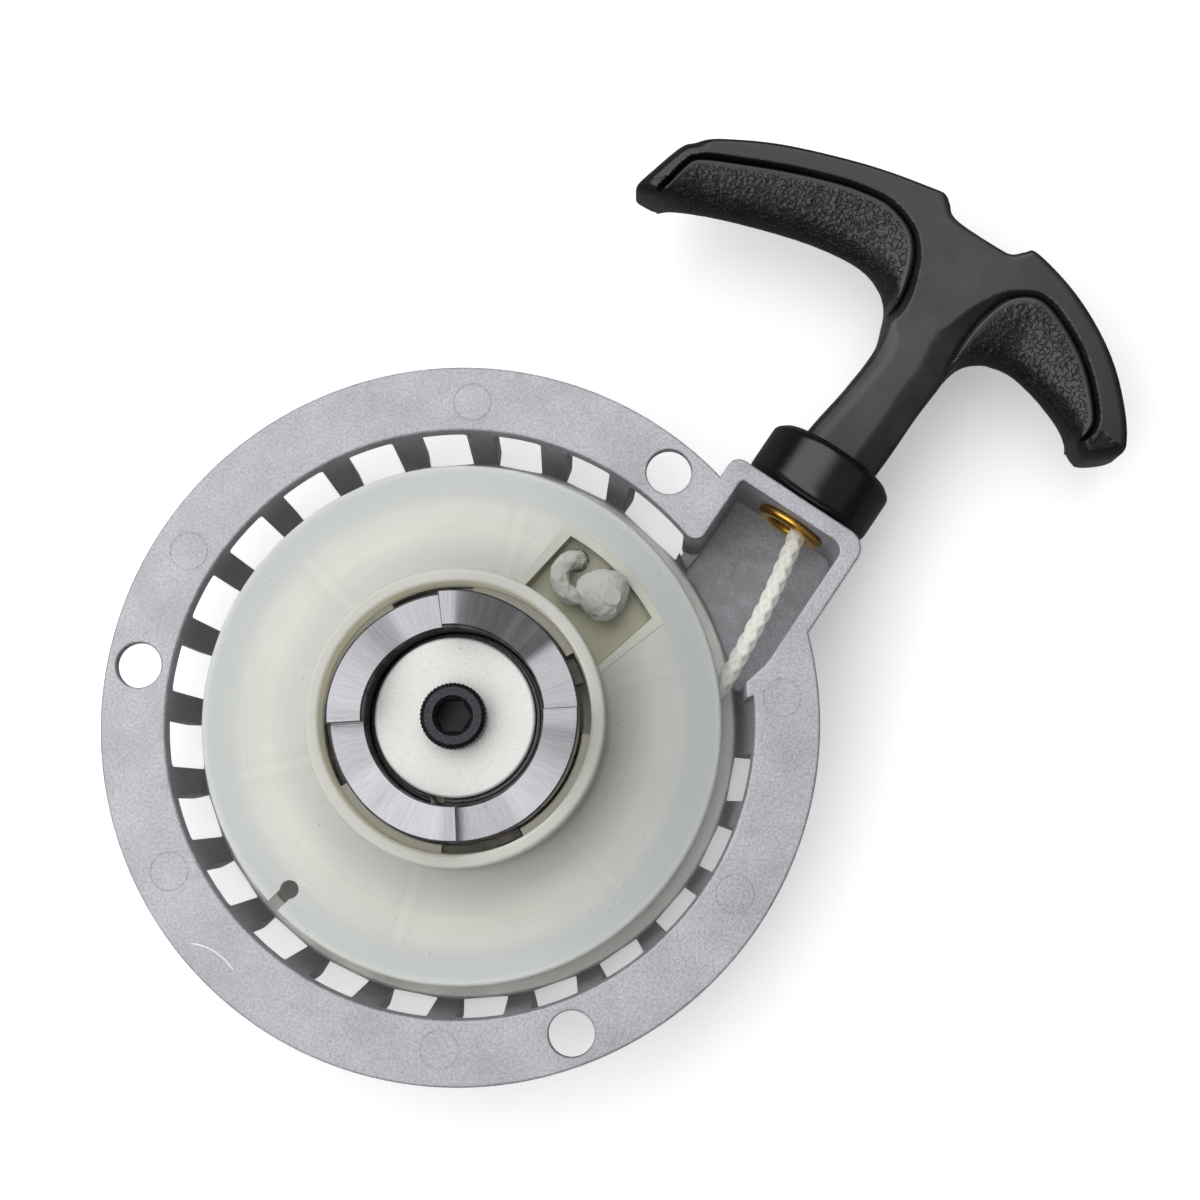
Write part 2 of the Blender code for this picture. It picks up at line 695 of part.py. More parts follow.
def build_rope_duct():
    """The stretch of rope from the drum through the eyelet. It bows a little to the right."""
    leave = on_circle(WOUND_R, ROPE_LEAVES_DEG - 3)
    exit_xy = on_pull(0.8 * MM, DUCT_END - 0.4 * MM)
    start_z = ROPE_Z - 2 * ROW_PITCH
    start = Vector((*leave, start_z))
    end = Vector((*exit_xy, ROPE_Z))
    pull_out = Vector((*on_circle(1.0, 54), 0.10)) * 26 * MM
    pull_in = Vector((*on_circle(1.0, 66), 0.0)) * 24 * MM
    path = bezier(start, start + pull_out, end - pull_in, end, 24)
    clear_of_coil = [p for p in path if math.hypot(p[0], p[1]) > WOUND_R + 2 * ROPE_R + GAP]
    wire("rope_duct", clear_of_coil, ROPE_R, PARTS, "rope")


def build_rope_lead():
    """The stretch of rope that leaves with the handle, up to its knot."""
    start = 0.8 * MM
    points = []
    for share in (0.0, 0.1, 0.25, 0.5, 1.0):
        along = DUCT_END + 0.4 * MM + (KNOT_SEAT + 1.7 * MM - DUCT_END) * share
        points.append((*on_pull(start * (1 - smooth(share * 4)), along), ROPE_Z))
    wire("rope_lead", points, ROPE_R, PARTS, "rope")
    bm = bmesh.new()
    bmesh.ops.create_uvsphere(bm, u_segments=16, v_segments=10, radius=4.6 * MM)
    knot = from_bmesh("rope_knot_handle", bm, PARTS, "rope")
    align_to_pull(knot, KNOT_SEAT + 7.2 * MM)
    washer = [(2.2 * MM, 1.2 * MM), (6.4 * MM, 1.2 * MM), (6.4 * MM, 0.0), (2.2 * MM, 0.0)]
    align_to_pull(turned("knot_washer", washer, 24, PARTS, "zinc_steel"), KNOT_SEAT + GAP)


# ---- handle -------------------------------------------------------------------------------
def handle_outline():
    """The T handle's outline, in millimetres across and along the pull axis."""
    stem_left = [(-7.9, 80.6), (-7.8, 90), (-6.2, 102), (-5.8, 113)]
    left_inner = [(-8.8, 121.3), (-13.5, 125), (-20, 126), (-31, 124.3), (-45, 120), (-59, 114.6)]
    left_tip = [(-65.4, 112.6), (-66.6, 114.0), (-63.4, 126.0), (-60.0, 128.9)]
    left_outer = [(-45, 137.2), (-28, 143.3), (-12, 147.0)]
    saddle = [(-9.6, 146.0), (-7.8, 143.4), (7.0, 143.2), (9.2, 145.8)]
    right_outer = [(11.4, 147.0), (20.6, 144.7), (29.5, 140.8), (37.5, 135.5), (44.4, 128.6)]
    right_tip = [(48.6, 122.3), (47.2, 119.6), (43.0, 116.4), (41.0, 116.8)]
    right_inner = [(37.0, 119.6), (31.5, 121.9), (25.4, 123.6), (19.4, 124.2), (14.2, 122.6), (10.6, 118.4)]
    stem_right = [(9.4, 109), (9.2, 97), (8.9, 90), (8.4, 80.6)]
    left = stem_left + left_inner + left_tip + left_outer
    right = right_outer + right_tip + right_inner + stem_right
    return [(x * MM, y * MM) for x, y in left + saddle + right]


def build_handle():
    """T handle with rounded edges, a bore for the rope and room for its knot."""
    data = bpy.data.curves.new("handle", "CURVE")
    data.dimensions = "2D"
    data.fill_mode = "BOTH"
    data.extrude = HANDLE_HALF_THICK - HANDLE_ROUND
    data.bevel_depth = HANDLE_ROUND
    data.bevel_resolution = 1
    data.offset = -HANDLE_ROUND
    spline = data.splines.new("POLY")
    outline = handle_outline()
    spline.points.add(len(outline) - 1)
    for point, (across, along) in zip(spline.points, outline):
        point.co = (across, along - DUCT_END, 0.0, 1.0)
    spline.use_cyclic_u = True
    obj = bpy.data.objects.new("handle", data)
    bpy.context.scene.collection.objects.link(obj)
    handle = as_mesh(obj, PARTS, "black_plastic")
    handle.parent = PULL_AXIS
    knot_room = cylinder("knot_room", 7.0 * MM, 0.0, 20 * MM, 24, CUTTERS)
    rope_bore = cylinder("rope_bore", 2.9 * MM, -60 * MM, 5 * MM, 16, CUTTERS)
    cut(handle, align_to_pull(knot_room, KNOT_SEAT), align_to_pull(rope_bore, KNOT_SEAT))
    return handle


def build_boot():
    """Rubber bumper that the stem sits in. It rests against the duct's end wall."""
    profile = [
        (3.0 * MM, BOOT_LONG),
        (12.2 * MM, BOOT_LONG),
        (13.4 * MM, BOOT_LONG - 0.7 * MM),
        (BOOT_R, BOOT_LONG - 2.2 * MM),
        (BOOT_R, 1.4 * MM),
        (BOOT_R - 0.8 * MM, 0.0),
        (3.0 * MM, 0.0),
    ]
    boot = turned("handle_boot", profile, 40, PARTS, "black_rubber")
    align_to_pull(boot, DUCT_END + GAP)
    left, right, half = -8.3 * MM, 9.3 * MM, HANDLE_HALF_THICK + GAP
    corner = HANDLE_ROUND - 0.5 * MM
    outline = []
    for x, y, start in ((right, half, 0), (left, half, 90), (left, -half, 180), (right, -half, 270)):
        centre = (x - math.copysign(corner, x), y - math.copysign(corner, y))
        outline += arc(centre, corner, start, start + 90, 3)
    stem_room = align_to_pull(prism("stem_room", outline, 0.0, 20 * MM, CUTTERS), STEM_END - GAP)
    cut(boot, stem_room)
    return boot


def main():
    build_housing()
    build_eyelet()
    build_axle()
    build_mainspring()
    build_reel().parent = REEL_AXIS
    build_claw()
    build_friction_spring().parent = REEL_AXIS
    build_hub_fasteners()
    build_rope_coil()
    build_rope_knot()
    build_rope_duct()
    build_rope_lead()
    build_handle()
    build_boot()
    for obj in PARTS.objects:
        shade(obj)


clear_scene()
PARTS = new_collection("recoil_starter")
CUTTERS = new_collection("cutters", cutters=True)
MATERIALS = {name: make_material(name) for name in COLOURS}
FLANGE_FACE = bpy.data.objects.new("flange_face", None)
PARTS.objects.link(FLANGE_FACE)
FLANGE_FACE.location.z = -BACK
REEL_AXIS = link(bpy.data.objects.new("reel_axis", None), PARTS)
PULL_AXIS = link(bpy.data.objects.new("pull_axis", None), PARTS)
PULL_AXIS.location = (*on_pull(0.0, DUCT_END), ROPE_Z)
PULL_AXIS.rotation_euler.z = math.radians(PULL_DEG - 90)
main()
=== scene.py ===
"""Looks of the recoil starter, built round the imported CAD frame.

Metres; +Z points to the engine. Pieces are modelled with Z = 0 on the mounting flange's face and
then raised by FACE_Z. The pull frame has X across the rope, Y along it and Z up.
"""
import json
import math

import bmesh
import bpy
import numpy as np
from mathutils import Matrix, Vector, noise
from mathutils.geometry import delaunay_2d_cdt


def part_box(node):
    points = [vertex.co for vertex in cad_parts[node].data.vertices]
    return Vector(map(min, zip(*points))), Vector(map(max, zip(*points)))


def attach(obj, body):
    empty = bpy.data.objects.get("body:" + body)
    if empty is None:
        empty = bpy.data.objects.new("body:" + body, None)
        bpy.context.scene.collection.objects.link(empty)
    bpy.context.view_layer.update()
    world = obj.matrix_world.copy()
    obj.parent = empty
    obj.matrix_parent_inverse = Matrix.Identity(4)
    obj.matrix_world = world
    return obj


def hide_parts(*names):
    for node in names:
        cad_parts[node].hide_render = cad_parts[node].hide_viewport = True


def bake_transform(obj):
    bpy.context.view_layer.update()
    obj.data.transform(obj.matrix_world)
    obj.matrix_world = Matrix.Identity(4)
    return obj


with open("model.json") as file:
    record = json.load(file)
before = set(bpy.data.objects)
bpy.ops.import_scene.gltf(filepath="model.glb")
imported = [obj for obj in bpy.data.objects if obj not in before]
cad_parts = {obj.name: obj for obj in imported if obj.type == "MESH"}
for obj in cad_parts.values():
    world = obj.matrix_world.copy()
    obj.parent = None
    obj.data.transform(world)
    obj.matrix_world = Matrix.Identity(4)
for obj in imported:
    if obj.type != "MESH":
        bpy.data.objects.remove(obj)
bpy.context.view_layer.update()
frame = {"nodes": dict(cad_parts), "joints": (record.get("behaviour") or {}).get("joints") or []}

MM = 0.001

# ---- places and sizes taken from the frame ----
FACE_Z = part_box("housing")[1].z
FLANGE_R = -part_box("housing")[0].x
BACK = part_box("housing")[0].z - FACE_Z
REEL_RIM_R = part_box("reel")[1].x
COLLAR_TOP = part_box("reel")[1].z - FACE_Z
CLAW_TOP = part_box("claw_ring")[1].z - FACE_Z
WASHER_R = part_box("retaining_washer")[1].x
WASHER_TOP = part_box("retaining_washer")[1].z - FACE_Z
SCREW_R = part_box("hub_screw")[1].x
SCREW_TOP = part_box("hub_screw")[1].z - FACE_Z
PULL = Vector(next(j for j in frame["joints"] if j["name"] == "handle_pull")["axis"])
PULL_DEG = math.degrees(math.atan2(PULL.y, PULL.x))

# ---- sizes of the pieces ----
PULL_OFFSET = 33.0 * MM
ROPE_Z = -12.0 * MM
ROPE_R = 1.8 * MM
WOUND_R = 40.6 * MM
ROW_PITCH = 3.8 * MM
FLANGE_INNER_R = 59.4 * MM
FLANGE_THICK = 3.0 * MM
PLATE_R = 56.9 * MM
PLATE_TOP = -24.5 * MM
PLATE_BOTTOM = -27.5 * MM
BOLT_CIRCLE_R = 66.0 * MM
BOLT_HOLE_R = 4.6 * MM
BOLT_DEGS = (50.1, 170.1, 290.1)
SLOT_WIDE_DEG = 9.5
SLOT_DEGS = [64.0 + 15.0 * i for i in range(20)]
WIDE_SLOT = (39.2, 54.5)
PIN_MARK_DEGS = (4.0, 88.0, 148.0, 207.5, 267.0, 328.0)
DUCT_LEFT = -17.0 * MM
DUCT_RIGHT = 15.4 * MM
DUCT_WALL = 3.6 * MM
DUCT_END = 76.25 * MM
DUCT_FLOOR = -26.0 * MM
REEL_TOP = -4.5 * MM
REEL_BOTTOM = -23.3 * MM
DRUM_R = 38.3 * MM
COLLAR_R = 29.5 * MM
COLLAR_BORE_R = 26.9 * MM
LEDGE_R = 24.95 * MM
RIB_DEG = 14
ROPE_HOLE_R = 41.0 * MM
ROPE_HOLE_DEG = 55
KEYHOLE_DEG = 224.4
CLAW_R = 24.5 * MM
CLAW_BORE_R = 17.4 * MM
CLAW_BOTTOM = -2.5 * MM
CLAW_LOW = 13.0 * MM
CLAW_STEP_DEGS = (4.0, 97.0, 184.0, 273.0)
HANDLE_HALF = 9.0 * MM
STEM_END = 80.6 * MM
KNOT_SEAT = 132.0 * MM

# ---- the camera, placed where the photographer stood ----
CAMERA_AT = (36.3 * MM, -27.8 * MM, 445.0 * MM + FACE_Z)
LOOKS_AT = (28.3 * MM, 24.4 * MM, FACE_Z)
LENS_MM = 66.5

# ---- the light's strength overhead and on the left, and from everywhere ----
BRIGHTEST = 2.25
FILL_LIGHT = 0.07


# ---- points and outlines ----
def on_circle(radius, degrees):
    return radius * math.cos(math.radians(degrees)), radius * math.sin(math.radians(degrees))


def on_pull(across, along):
    """World x, y of a point given across the pull axis (to its right) and along it."""
    turn = math.radians(PULL_DEG)
    across += PULL_OFFSET
    return (
        along * math.cos(turn) + across * math.sin(turn),
        along * math.sin(turn) - across * math.cos(turn),
    )


def pull_frame():
    """From the pull frame, whose origin is on the pull axis at the duct's end, to the flange's frame."""
    turn = Matrix.Rotation(math.radians(PULL_DEG - 90), 4, "Z")
    return Matrix.Translation((*on_pull(0.0, DUCT_END), ROPE_Z)) @ turn


def smooth(t):
    t = min(max(t, 0.0), 1.0)
    return t * t * (3 - 2 * t)


def arc(centre, radius, start_deg, end_deg, steps):
    turns = [start_deg + (end_deg - start_deg) * i / steps for i in range(steps + 1)]
    return [(centre[0] + on_circle(radius, a)[0], centre[1] + on_circle(radius, a)[1]) for a in turns]


def rounded(points, steps=5, closed=True):
    """An outline with round corners. A point is (x, y), or (x, y, radius) where it's rounded."""
    result = []
    count = len(points)
    for i, point in enumerate(points):
        here = Vector(point[:2])
        radius = point[2] if len(point) > 2 else 0.0
        if radius <= 0 or (not closed and i in (0, count - 1)):
            result.append(tuple(here))
            continue
        back = Vector(points[i - 1][:2]) - here
        ahead = Vector(points[(i + 1) % count][:2]) - here
        half = back.angle(ahead) / 2
        reach = min(radius / math.tan(half), 0.49 * back.length, 0.49 * ahead.length)
        radius = reach * math.tan(half)
        centre = here + (back.normalized() + ahead.normalized()).normalized() * radius / math.sin(half)
        start = here + back.normalized() * reach - centre
        end = here + ahead.normalized() * reach - centre
        sweep = start.angle_signed(end)
        for k in range(steps + 1):
            spoke = start.copy()
            spoke.rotate(Matrix.Rotation(-sweep * k / steps, 2))
            result.append(tuple(centre + spoke))
    return result


def offset(outline, distance):
    """The outline moved outwards along its corners' normals; it runs anticlockwise."""
    result = []
    count = len(outline)
    for i in range(count):
        here = Vector(outline[i])
        into = (here - Vector(outline[i - 1])).normalized()
        out = (Vector(outline[(i + 1) % count]) - here).normalized()
        normal = Vector((into.y + out.y, -into.x - out.x))
        if normal.length < 1e-6:
            normal = Vector((into.y, -into.x))
        normal.normalize()
        lean = max(0.35, normal.dot(Vector((into.y, -into.x))))
        result.append(tuple(here + normal * distance / lean))
    return result


def anticlockwise(outline):
    area = sum(a[0] * b[1] - b[0] * a[1] for a, b in zip(outline, outline[1:] + outline[:1]))
    return outline if area > 0 else outline[::-1]


# ---- meshes ----
def finish_mesh(name, bm, material=None):
    mesh = bpy.data.meshes.new(name)
    bmesh.ops.recalc_face_normals(bm, faces=bm.faces)
    bm.to_mesh(mesh)
    bm.free()
    obj = bpy.data.objects.new(name, mesh)
    bpy.context.scene.collection.objects.link(obj)
    if material:
        mesh.materials.append(material)
    return obj


def skin(bm, a, b):
    """Faces between two rings of vertices, or a ring and a single vertex."""
    count = max(len(a), len(b))
    for i in range(count):
        corners = [a[i % len(a)], a[(i + 1) % len(a)], b[(i + 1) % len(b)], b[i % len(b)]]
        bm.faces.new(list(dict.fromkeys(corners)))


def turned(name, profile, steps, material=None):
    """A turned piece. The (radius, height) profile is a closed loop, or starts and ends on the axis."""
    bm = bmesh.new()
    rings = []
    for r, z in profile:
        if r < 1e-7:
            rings.append([bm.verts.new((0.0, 0.0, z))])
        else:
            rings.append([bm.verts.new((*on_circle(r, 360 * i / steps), z)) for i in range(steps)])
    for a, b in zip(rings, rings[1:]):
        skin(bm, a, b)
    if profile[0][0] > 1e-7:
        skin(bm, rings[-1], rings[0])
    return finish_mesh(name, bm, material)


def slab(name, outline, levels, material=None):
    """An outline stacked at (inset, height) levels, with closed ends."""
    outline = anticlockwise(outline)
    bm = bmesh.new()
    rings = []
    for inset, z in levels:
        rings.append([bm.verts.new((x, y, z)) for x, y in offset(outline, -inset)])
    for a, b in zip(rings, rings[1:]):
        skin(bm, a, b)
    bm.faces.new(rings[0])
    bm.faces.new(rings[-1])
    return finish_mesh(name, bm, material)


def prism(name, outline, bottom, top, material=None):
    return slab(name, outline, [(0.0, bottom), (0.0, top)], material)


def peg(name, radius, bottom, top, steps, material=None):
    """A cylinder round Z."""
    return turned(name, [(0.0, bottom), (radius, bottom), (radius, top), (0.0, top)], steps, material)


def round_top(bottom, top, radius, steps=4):
    """Levels of a slab whose upper edge is rounded."""
    levels = [(0.0, bottom)]
    for k in range(steps + 1):
        turn = math.radians(90 * k / steps)
        levels.append((radius * (1 - math.cos(turn)), top - radius + radius * math.sin(turn)))
    return levels


def tube(name, points, radius, sides, material=None, wave=None):
    """A rope or wire along the points. wave(length, turn) changes its radius."""
    bm = bmesh.new()
    points = [Vector(p) for p in points]
    rings = []
    normal = None
    length = 0.0
    for i, here in enumerate(points):
        ahead = points[min(i + 1, len(points) - 1)] - points[max(i - 1, 0)]
        ahead.normalize()
        if normal is None:
            normal = ahead.orthogonal().normalized()
        normal = (normal - ahead * normal.dot(ahead)).normalized()
        side = ahead.cross(normal)
        if i:
            length += (here - points[i - 1]).length
        ring = []
        for k in range(sides):
            turn = 2 * math.pi * k / sides
            r = radius + (wave(length, turn) if wave else 0.0)
            ring.append(bm.verts.new(here + (normal * math.cos(turn) + side * math.sin(turn)) * r))
        rings.append(ring)
    for a, b in zip(rings, rings[1:]):
        skin(bm, a, b)
    for ring in (rings[0], rings[-1]):
        centre = sum((v.co for v in ring), Vector()) / sides
        skin(bm, ring, [bm.verts.new(centre)])
    return finish_mesh(name, bm, material)


def resample(points, spacing):
    """Points at an even spacing along a smooth curve through the given ones."""
    points = [Vector(p) for p in points]
    padded = [2 * points[0] - points[1]] + points + [2 * points[-1] - points[-2]]
    dense = []
    for a, b, c, d in zip(padded, padded[1:], padded[2:], padded[3:]):
        for k in range(16):
            t = k / 16
            dense.append(0.5 * (2 * b + (c - a) * t + (2 * a - 5 * b + 4 * c - d) * t**2
                                + (3 * b - a - 3 * c + d) * t**3))
    dense.append(points[-1])
    lengths = np.cumsum([0.0] + [(b - a).length for a, b in zip(dense, dense[1:])])
    count = max(2, round(lengths[-1] / spacing))
    wanted = np.linspace(0.0, lengths[-1], count + 1)
    axes = [np.interp(wanted, lengths, [p[k] for p in dense]) for k in range(len(points[0]))]
    return [Vector(p) for p in zip(*axes)]


def boolean(target, cutters, operation="DIFFERENCE"):
    for cutter in cutters:
        step = target.modifiers.new("step", "BOOLEAN")
        step.operation = operation
        step.solver = "MANIFOLD"
        step.object = cutter
        step.material_mode = "TRANSFER"
    bpy.context.view_layer.update()
    graph = bpy.context.evaluated_depsgraph_get()
    mesh = bpy.data.meshes.new_from_object(target.evaluated_get(graph))
    target.modifiers.clear()
    target.data = mesh
    for cutter in cutters:
        bpy.data.objects.remove(cutter, do_unlink=True)
    return target


def wear(obj, material):
    """Gives the whole piece one material."""
    obj.data.materials.clear()
    obj.data.materials.append(material)
    return obj


def merged(name, objects):
    """One mesh of several, each left as its own shell."""
    bm = bmesh.new()
    for obj in objects:
        obj.data.transform(obj.matrix_basis)
        bm.from_mesh(obj.data)
        bpy.data.objects.remove(obj, do_unlink=True)
    return finish_mesh(name, bm)


def shade(obj, angle=32.0, weighted=True):
    obj.data.shade_smooth()
    obj.data.set_sharp_from_angle(angle=math.radians(angle))
    if weighted:
        step = obj.modifiers.new("even_normals", "WEIGHTED_NORMAL")
        step.keep_sharp = True
    return obj


def stand(obj, body, nodes, in_pull_frame=False):
    """Puts a finished piece in its place, in the stead of its CAD nodes."""
    if in_pull_frame:
        obj.data.transform(pull_frame())
    obj.location.z = FACE_Z
    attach(obj, body)
    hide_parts(*nodes)


# ---- materials ----
class Nodes:
    """A node tree, with short ways to add nodes and links."""

    def __init__(self, tree):
        self.tree = tree

    def add(self, kind, inputs=None, **settings):
        node = self.tree.nodes.new(kind)
        for key, value in settings.items():
            setattr(node, key, value)
        for key, value in (inputs or {}).items():
            self.put(node.inputs[key], value)
        return node

    def put(self, socket, value):
        if isinstance(value, bpy.types.NodeSocket):
            self.tree.links.new(value, socket)
        elif socket.type == "RGBA" and len(value) == 3:
            socket.default_value = (*value, 1.0)
        else:
            socket.default_value = value

    def math(self, operation, a, b=0.0, c=0.0):
        return self.add("ShaderNodeMath", {0: a, 1: b, 2: c}, operation=operation).outputs[0]

    def times(self, a, b):
        return self.math("MULTIPLY", a, b)

    def span(self, value, low, high, to_low=0.0, to_high=1.0):
        """Maps a value from one span to another, clamped, with soft ends."""
        inputs = {"Value": value, "From Min": low, "From Max": high, "To Min": to_low, "To Max": to_high}
        return self.add("ShaderNodeMapRange", inputs, interpolation_type="SMOOTHSTEP").outputs["Result"]

    def light_path(self, kind):
        return self.add("ShaderNodeLightPath").outputs[kind]


class Shader(Nodes):
    """A new material's nodes. Its textures follow the object's own coordinates."""

    def __init__(self, name):
        self.material = bpy.data.materials.new(name)
        self.material.use_nodes = True
        super().__init__(self.material.node_tree)
        self.bsdf = self.tree.nodes["Principled BSDF"]
        self.place = self.add("ShaderNodeTexCoord").outputs["Object"]

    def set(self, **inputs):
        for key, value in inputs.items():
            self.put(self.bsdf.inputs[key.replace("_", " ")], value)

    def noise(self, size, detail=3.0, roughness=0.55, place=None):
        """A noise whose features are about that size."""
        node = self.add("ShaderNodeTexNoise", {"Scale": 1.0 / size, "Detail": detail, "Roughness": roughness})
        self.put(node.inputs["Vector"], place or self.place)
        return node.outputs["Fac"]

    def mix(self, share, a, b):
        return self.add("ShaderNodeMix", {0: share, 6: a, 7: b}, data_type="RGBA").outputs[2]

    def tint(self, tone, share, strength, colour):
        """The tone with a colour laid over it, as strong as the share times the strength."""
        return self.mix(self.times(share, strength), tone, colour)

    def ramp(self, value, stops):
        node = self.add("ShaderNodeValToRGB", {"Fac": value})
        elements = node.color_ramp.elements
        while len(elements) < len(stops):
            elements.new(0.5)
        for element, (position, colour) in zip(elements, stops):
            element.position = position
            element.color = (*colour, 1.0)
        return node.outputs["Color"]

    def bump(self, height, distance, strength, normal=None):
        node = self.add("ShaderNodeBump", {"Height": height, "Distance": distance, "Strength": strength})
        if normal:
            self.put(node.inputs["Normal"], normal)
        return node.outputs["Normal"]

    def combine(self, x, y):
        return self.add("ShaderNodeCombineXYZ", {0: x, 1: y}).outputs[0]

    def xyz(self):
        return self.add("ShaderNodeSeparateXYZ", {0: self.place}).outputs

    def polar(self):
        """Distance from the Z axis, the angle round it in radians, and the height."""
        x, y, z = self.xyz()
        radius = self.math("SQRT", self.math("ADD", self.times(x, x), self.times(y, y)))
        return radius, self.math("ARCTAN2", y, x), z

    def vector(self, operation, other):
        """A number got from the place and another vector."""
        node = self.add("ShaderNodeVectorMath", {0: self.place, 1: other}, operation=operation)
        return node.outputs["Value"]

    def away(self, point):
        """Distance from a point."""
        return self.vector("DISTANCE", point)


def srgb(*values):
    """Linear colour of an sRGB colour given as 0 to 255."""
    shares = [v / 255 for v in values]
    return tuple(s / 12.92 if s <= 0.04045 else ((s + 0.055) / 1.055) ** 2.4 for s in shares)


def scratch(s):
    """How much each point lies on a short curved scratch low on the flange's left."""
    centre, radius = (-54.7 * MM, -56.3 * MM, 0.0), 12.1 * MM
    middle, half_long = (-49.0 * MM, -47.0 * MM, 0.0), 5.0 * MM
    off_arc = s.math("ABSOLUTE", s.math("SUBTRACT", s.away(centre), radius))
    ends = s.span(s.away(middle), half_long - 0.6 * MM, half_long + 0.6 * MM, 1.0, 0.0)
    return s.times(s.span(off_arc, 0.05 * MM, 0.20 * MM, 1.0, 0.0), ends)


def cast_aluminium():
    """Sand-grained casting: painted light on the plate, darker patches down in the duct, and stains and a
    scratch on the flange.
    """
    s = Shader("cast_aluminium")
    radius, _, height = s.polar()
    grain = s.noise(0.55 * MM, 4.0, 0.7)
    base = s.ramp(s.noise(14 * MM, 4.0, 0.6), [(0.3, srgb(162, 162, 168)), (0.7, srgb(182, 182, 188))])
    speck = s.span(grain, 0.36, 0.66, 0.76, 1.16)
    tone = s.add("ShaderNodeVectorMath", {0: base, "Scale": speck}, operation="SCALE").outputs[0]
    stain = s.span(s.noise(5 * MM, 5.0, 0.7), 0.54, 0.72)
    tone = s.tint(tone, stain, 0.22, srgb(112, 110, 108))
    # Darker in noisy patches near the duct's end, below the flange's face.
    near_duct = s.span(s.away((*on_pull(0.0, 60 * MM), -20 * MM)), 12 * MM, 21 * MM, 1.0, 0.0)
    in_duct = s.times(near_duct, s.span(height, -8 * MM, -3 * MM, 1.0, 0.0))
    duct_darkening = s.span(s.noise(7 * MM, 6.0, 0.75), 0.42, 0.62, 0.12, 0.62)
    tone = s.tint(tone, in_duct, duct_darkening, srgb(124, 123, 121))
    # Painted light: the plate's low face is tinted lighter, standing in for light falling on it.
    low = s.span(height, PLATE_TOP + 0.5 * MM, PLATE_TOP + 0.9 * MM, 1.0, 0.0)
    plate_painted_light = s.times(low, s.span(radius, 55.8 * MM, 57 * MM, 1.0, 0.0))
    tone = s.tint(tone, plate_painted_light, 0.85, srgb(222, 221, 216))
    tone = s.tint(tone, scratch(s), 0.7, srgb(236, 235, 230))
    edge = s.add("ShaderNodeBevel", {"Radius": 0.35 * MM}, samples=3).outputs["Normal"]
    rough = s.math("ADD", grain, s.times(s.noise(2.2 * MM, 2.0), 1.2))
    s.set(Base_Color=tone, Metallic=0.55, Roughness=s.span(grain, 0.3, 0.7, 0.42, 0.60),
          Normal=s.bump(rough, 0.09 * MM, 0.65, edge))
    return s.material


def machined_aluminium():
    """The claw's face: fine lines left by a cutter that swept across the ring, and painted shade low down in
    the well.
    """
    s = Shader("machined_aluminium")
    radius, turn, height = s.polar()
    spokes = s.combine(s.times(turn, 21 * MM), s.times(radius, 0.06))
    lines = s.noise(0.35 * MM, 3.0, 0.6, spokes)
    broad = s.noise(2.5 * MM, 2.0, 0.5, spokes)
    pits = s.span(s.noise(0.4 * MM, 2.0), 0.66, 0.74)
    tone = s.ramp(s.math("ADD", s.times(lines, 0.5), s.times(broad, 0.5)),
                  [(0.3, srgb(132, 132, 136)), (0.7, srgb(164, 164, 168))])
    tone = s.tint(tone, pits, 0.5, srgb(90, 90, 92))
    # Painted shade: darker towards the bottom, from 6 mm down, where the ring and its lugs sit deep in the
    # well.
    tone = s.mix(s.span(height, 0.0, 6.0 * MM, 0.85, 0.0), tone, srgb(52, 46, 36))
    s.set(Base_Color=tone, Metallic=1.0, Roughness=s.span(broad, 0.3, 0.7, 0.26, 0.38),
          Normal=s.bump(lines, 0.05 * MM, 0.5))
    return s.material


def zinc():
    s = Shader("zinc_plate")
    grain = s.noise(0.28 * MM, 3.0, 0.7)
    dots = s.span(s.noise(0.7 * MM, 1.0), 0.76, 0.80)
    tone = s.ramp(grain, [(0.35, srgb(204, 206, 202)), (0.65, srgb(224, 226, 222))])
    tone = s.tint(tone, dots, 0.6, srgb(150, 150, 146))
    s.set(Base_Color=tone, Metallic=0.25, Roughness=0.55, Normal=s.bump(grain, 0.03 * MM, 0.6))
    return s.material


def black_oxide():
    """Blackened steel, with painted shade that darkens it below the head's top face, most in the screw's
    socket.
    """
    s = Shader("black_oxide")
    grain = s.noise(0.4 * MM, 3.0, 0.6)
    tone = s.ramp(grain, [(0.35, srgb(34, 34, 37)), (0.7, srgb(62, 62, 67))])
    # Painted shade: below the head's top face, down the socket and the knurled side, the tone goes nearly
    # black.
    deep = s.span(s.xyz()[2], SCREW_TOP - 1.0 * MM, SCREW_TOP - 0.4 * MM, 0.8, 0.0)
    tone = s.mix(deep, tone, srgb(8, 8, 9))
    s.set(Base_Color=tone, Metallic=0.8, Roughness=s.span(grain, 0.3, 0.7, 0.24, 0.42),
          Normal=s.bump(grain, 0.03 * MM, 0.5))
    return s.material


def plain_metal(name, size, detail, roughness, stops):
    s = Shader(name)
    grain = s.noise(size, detail, 0.6)
    s.set(Base_Color=s.ramp(grain, stops), Metallic=1.0, Roughness=roughness,
          Normal=s.bump(grain, 0.03 * MM, 0.5))
    return s.material


def spring_steel():
    stops = [(0.3, srgb(120, 120, 122)), (0.7, srgb(165, 164, 162))]
    return plain_metal("spring_steel", 0.6 * MM, 3.0, 0.34, stops)


def brass():
    stops = [(0.3, srgb(190, 138, 52)), (0.55, srgb(226, 178, 86)), (0.8, srgb(150, 104, 40))]
    return plain_metal("brass", 0.8 * MM, 4.0, 0.30, stops)


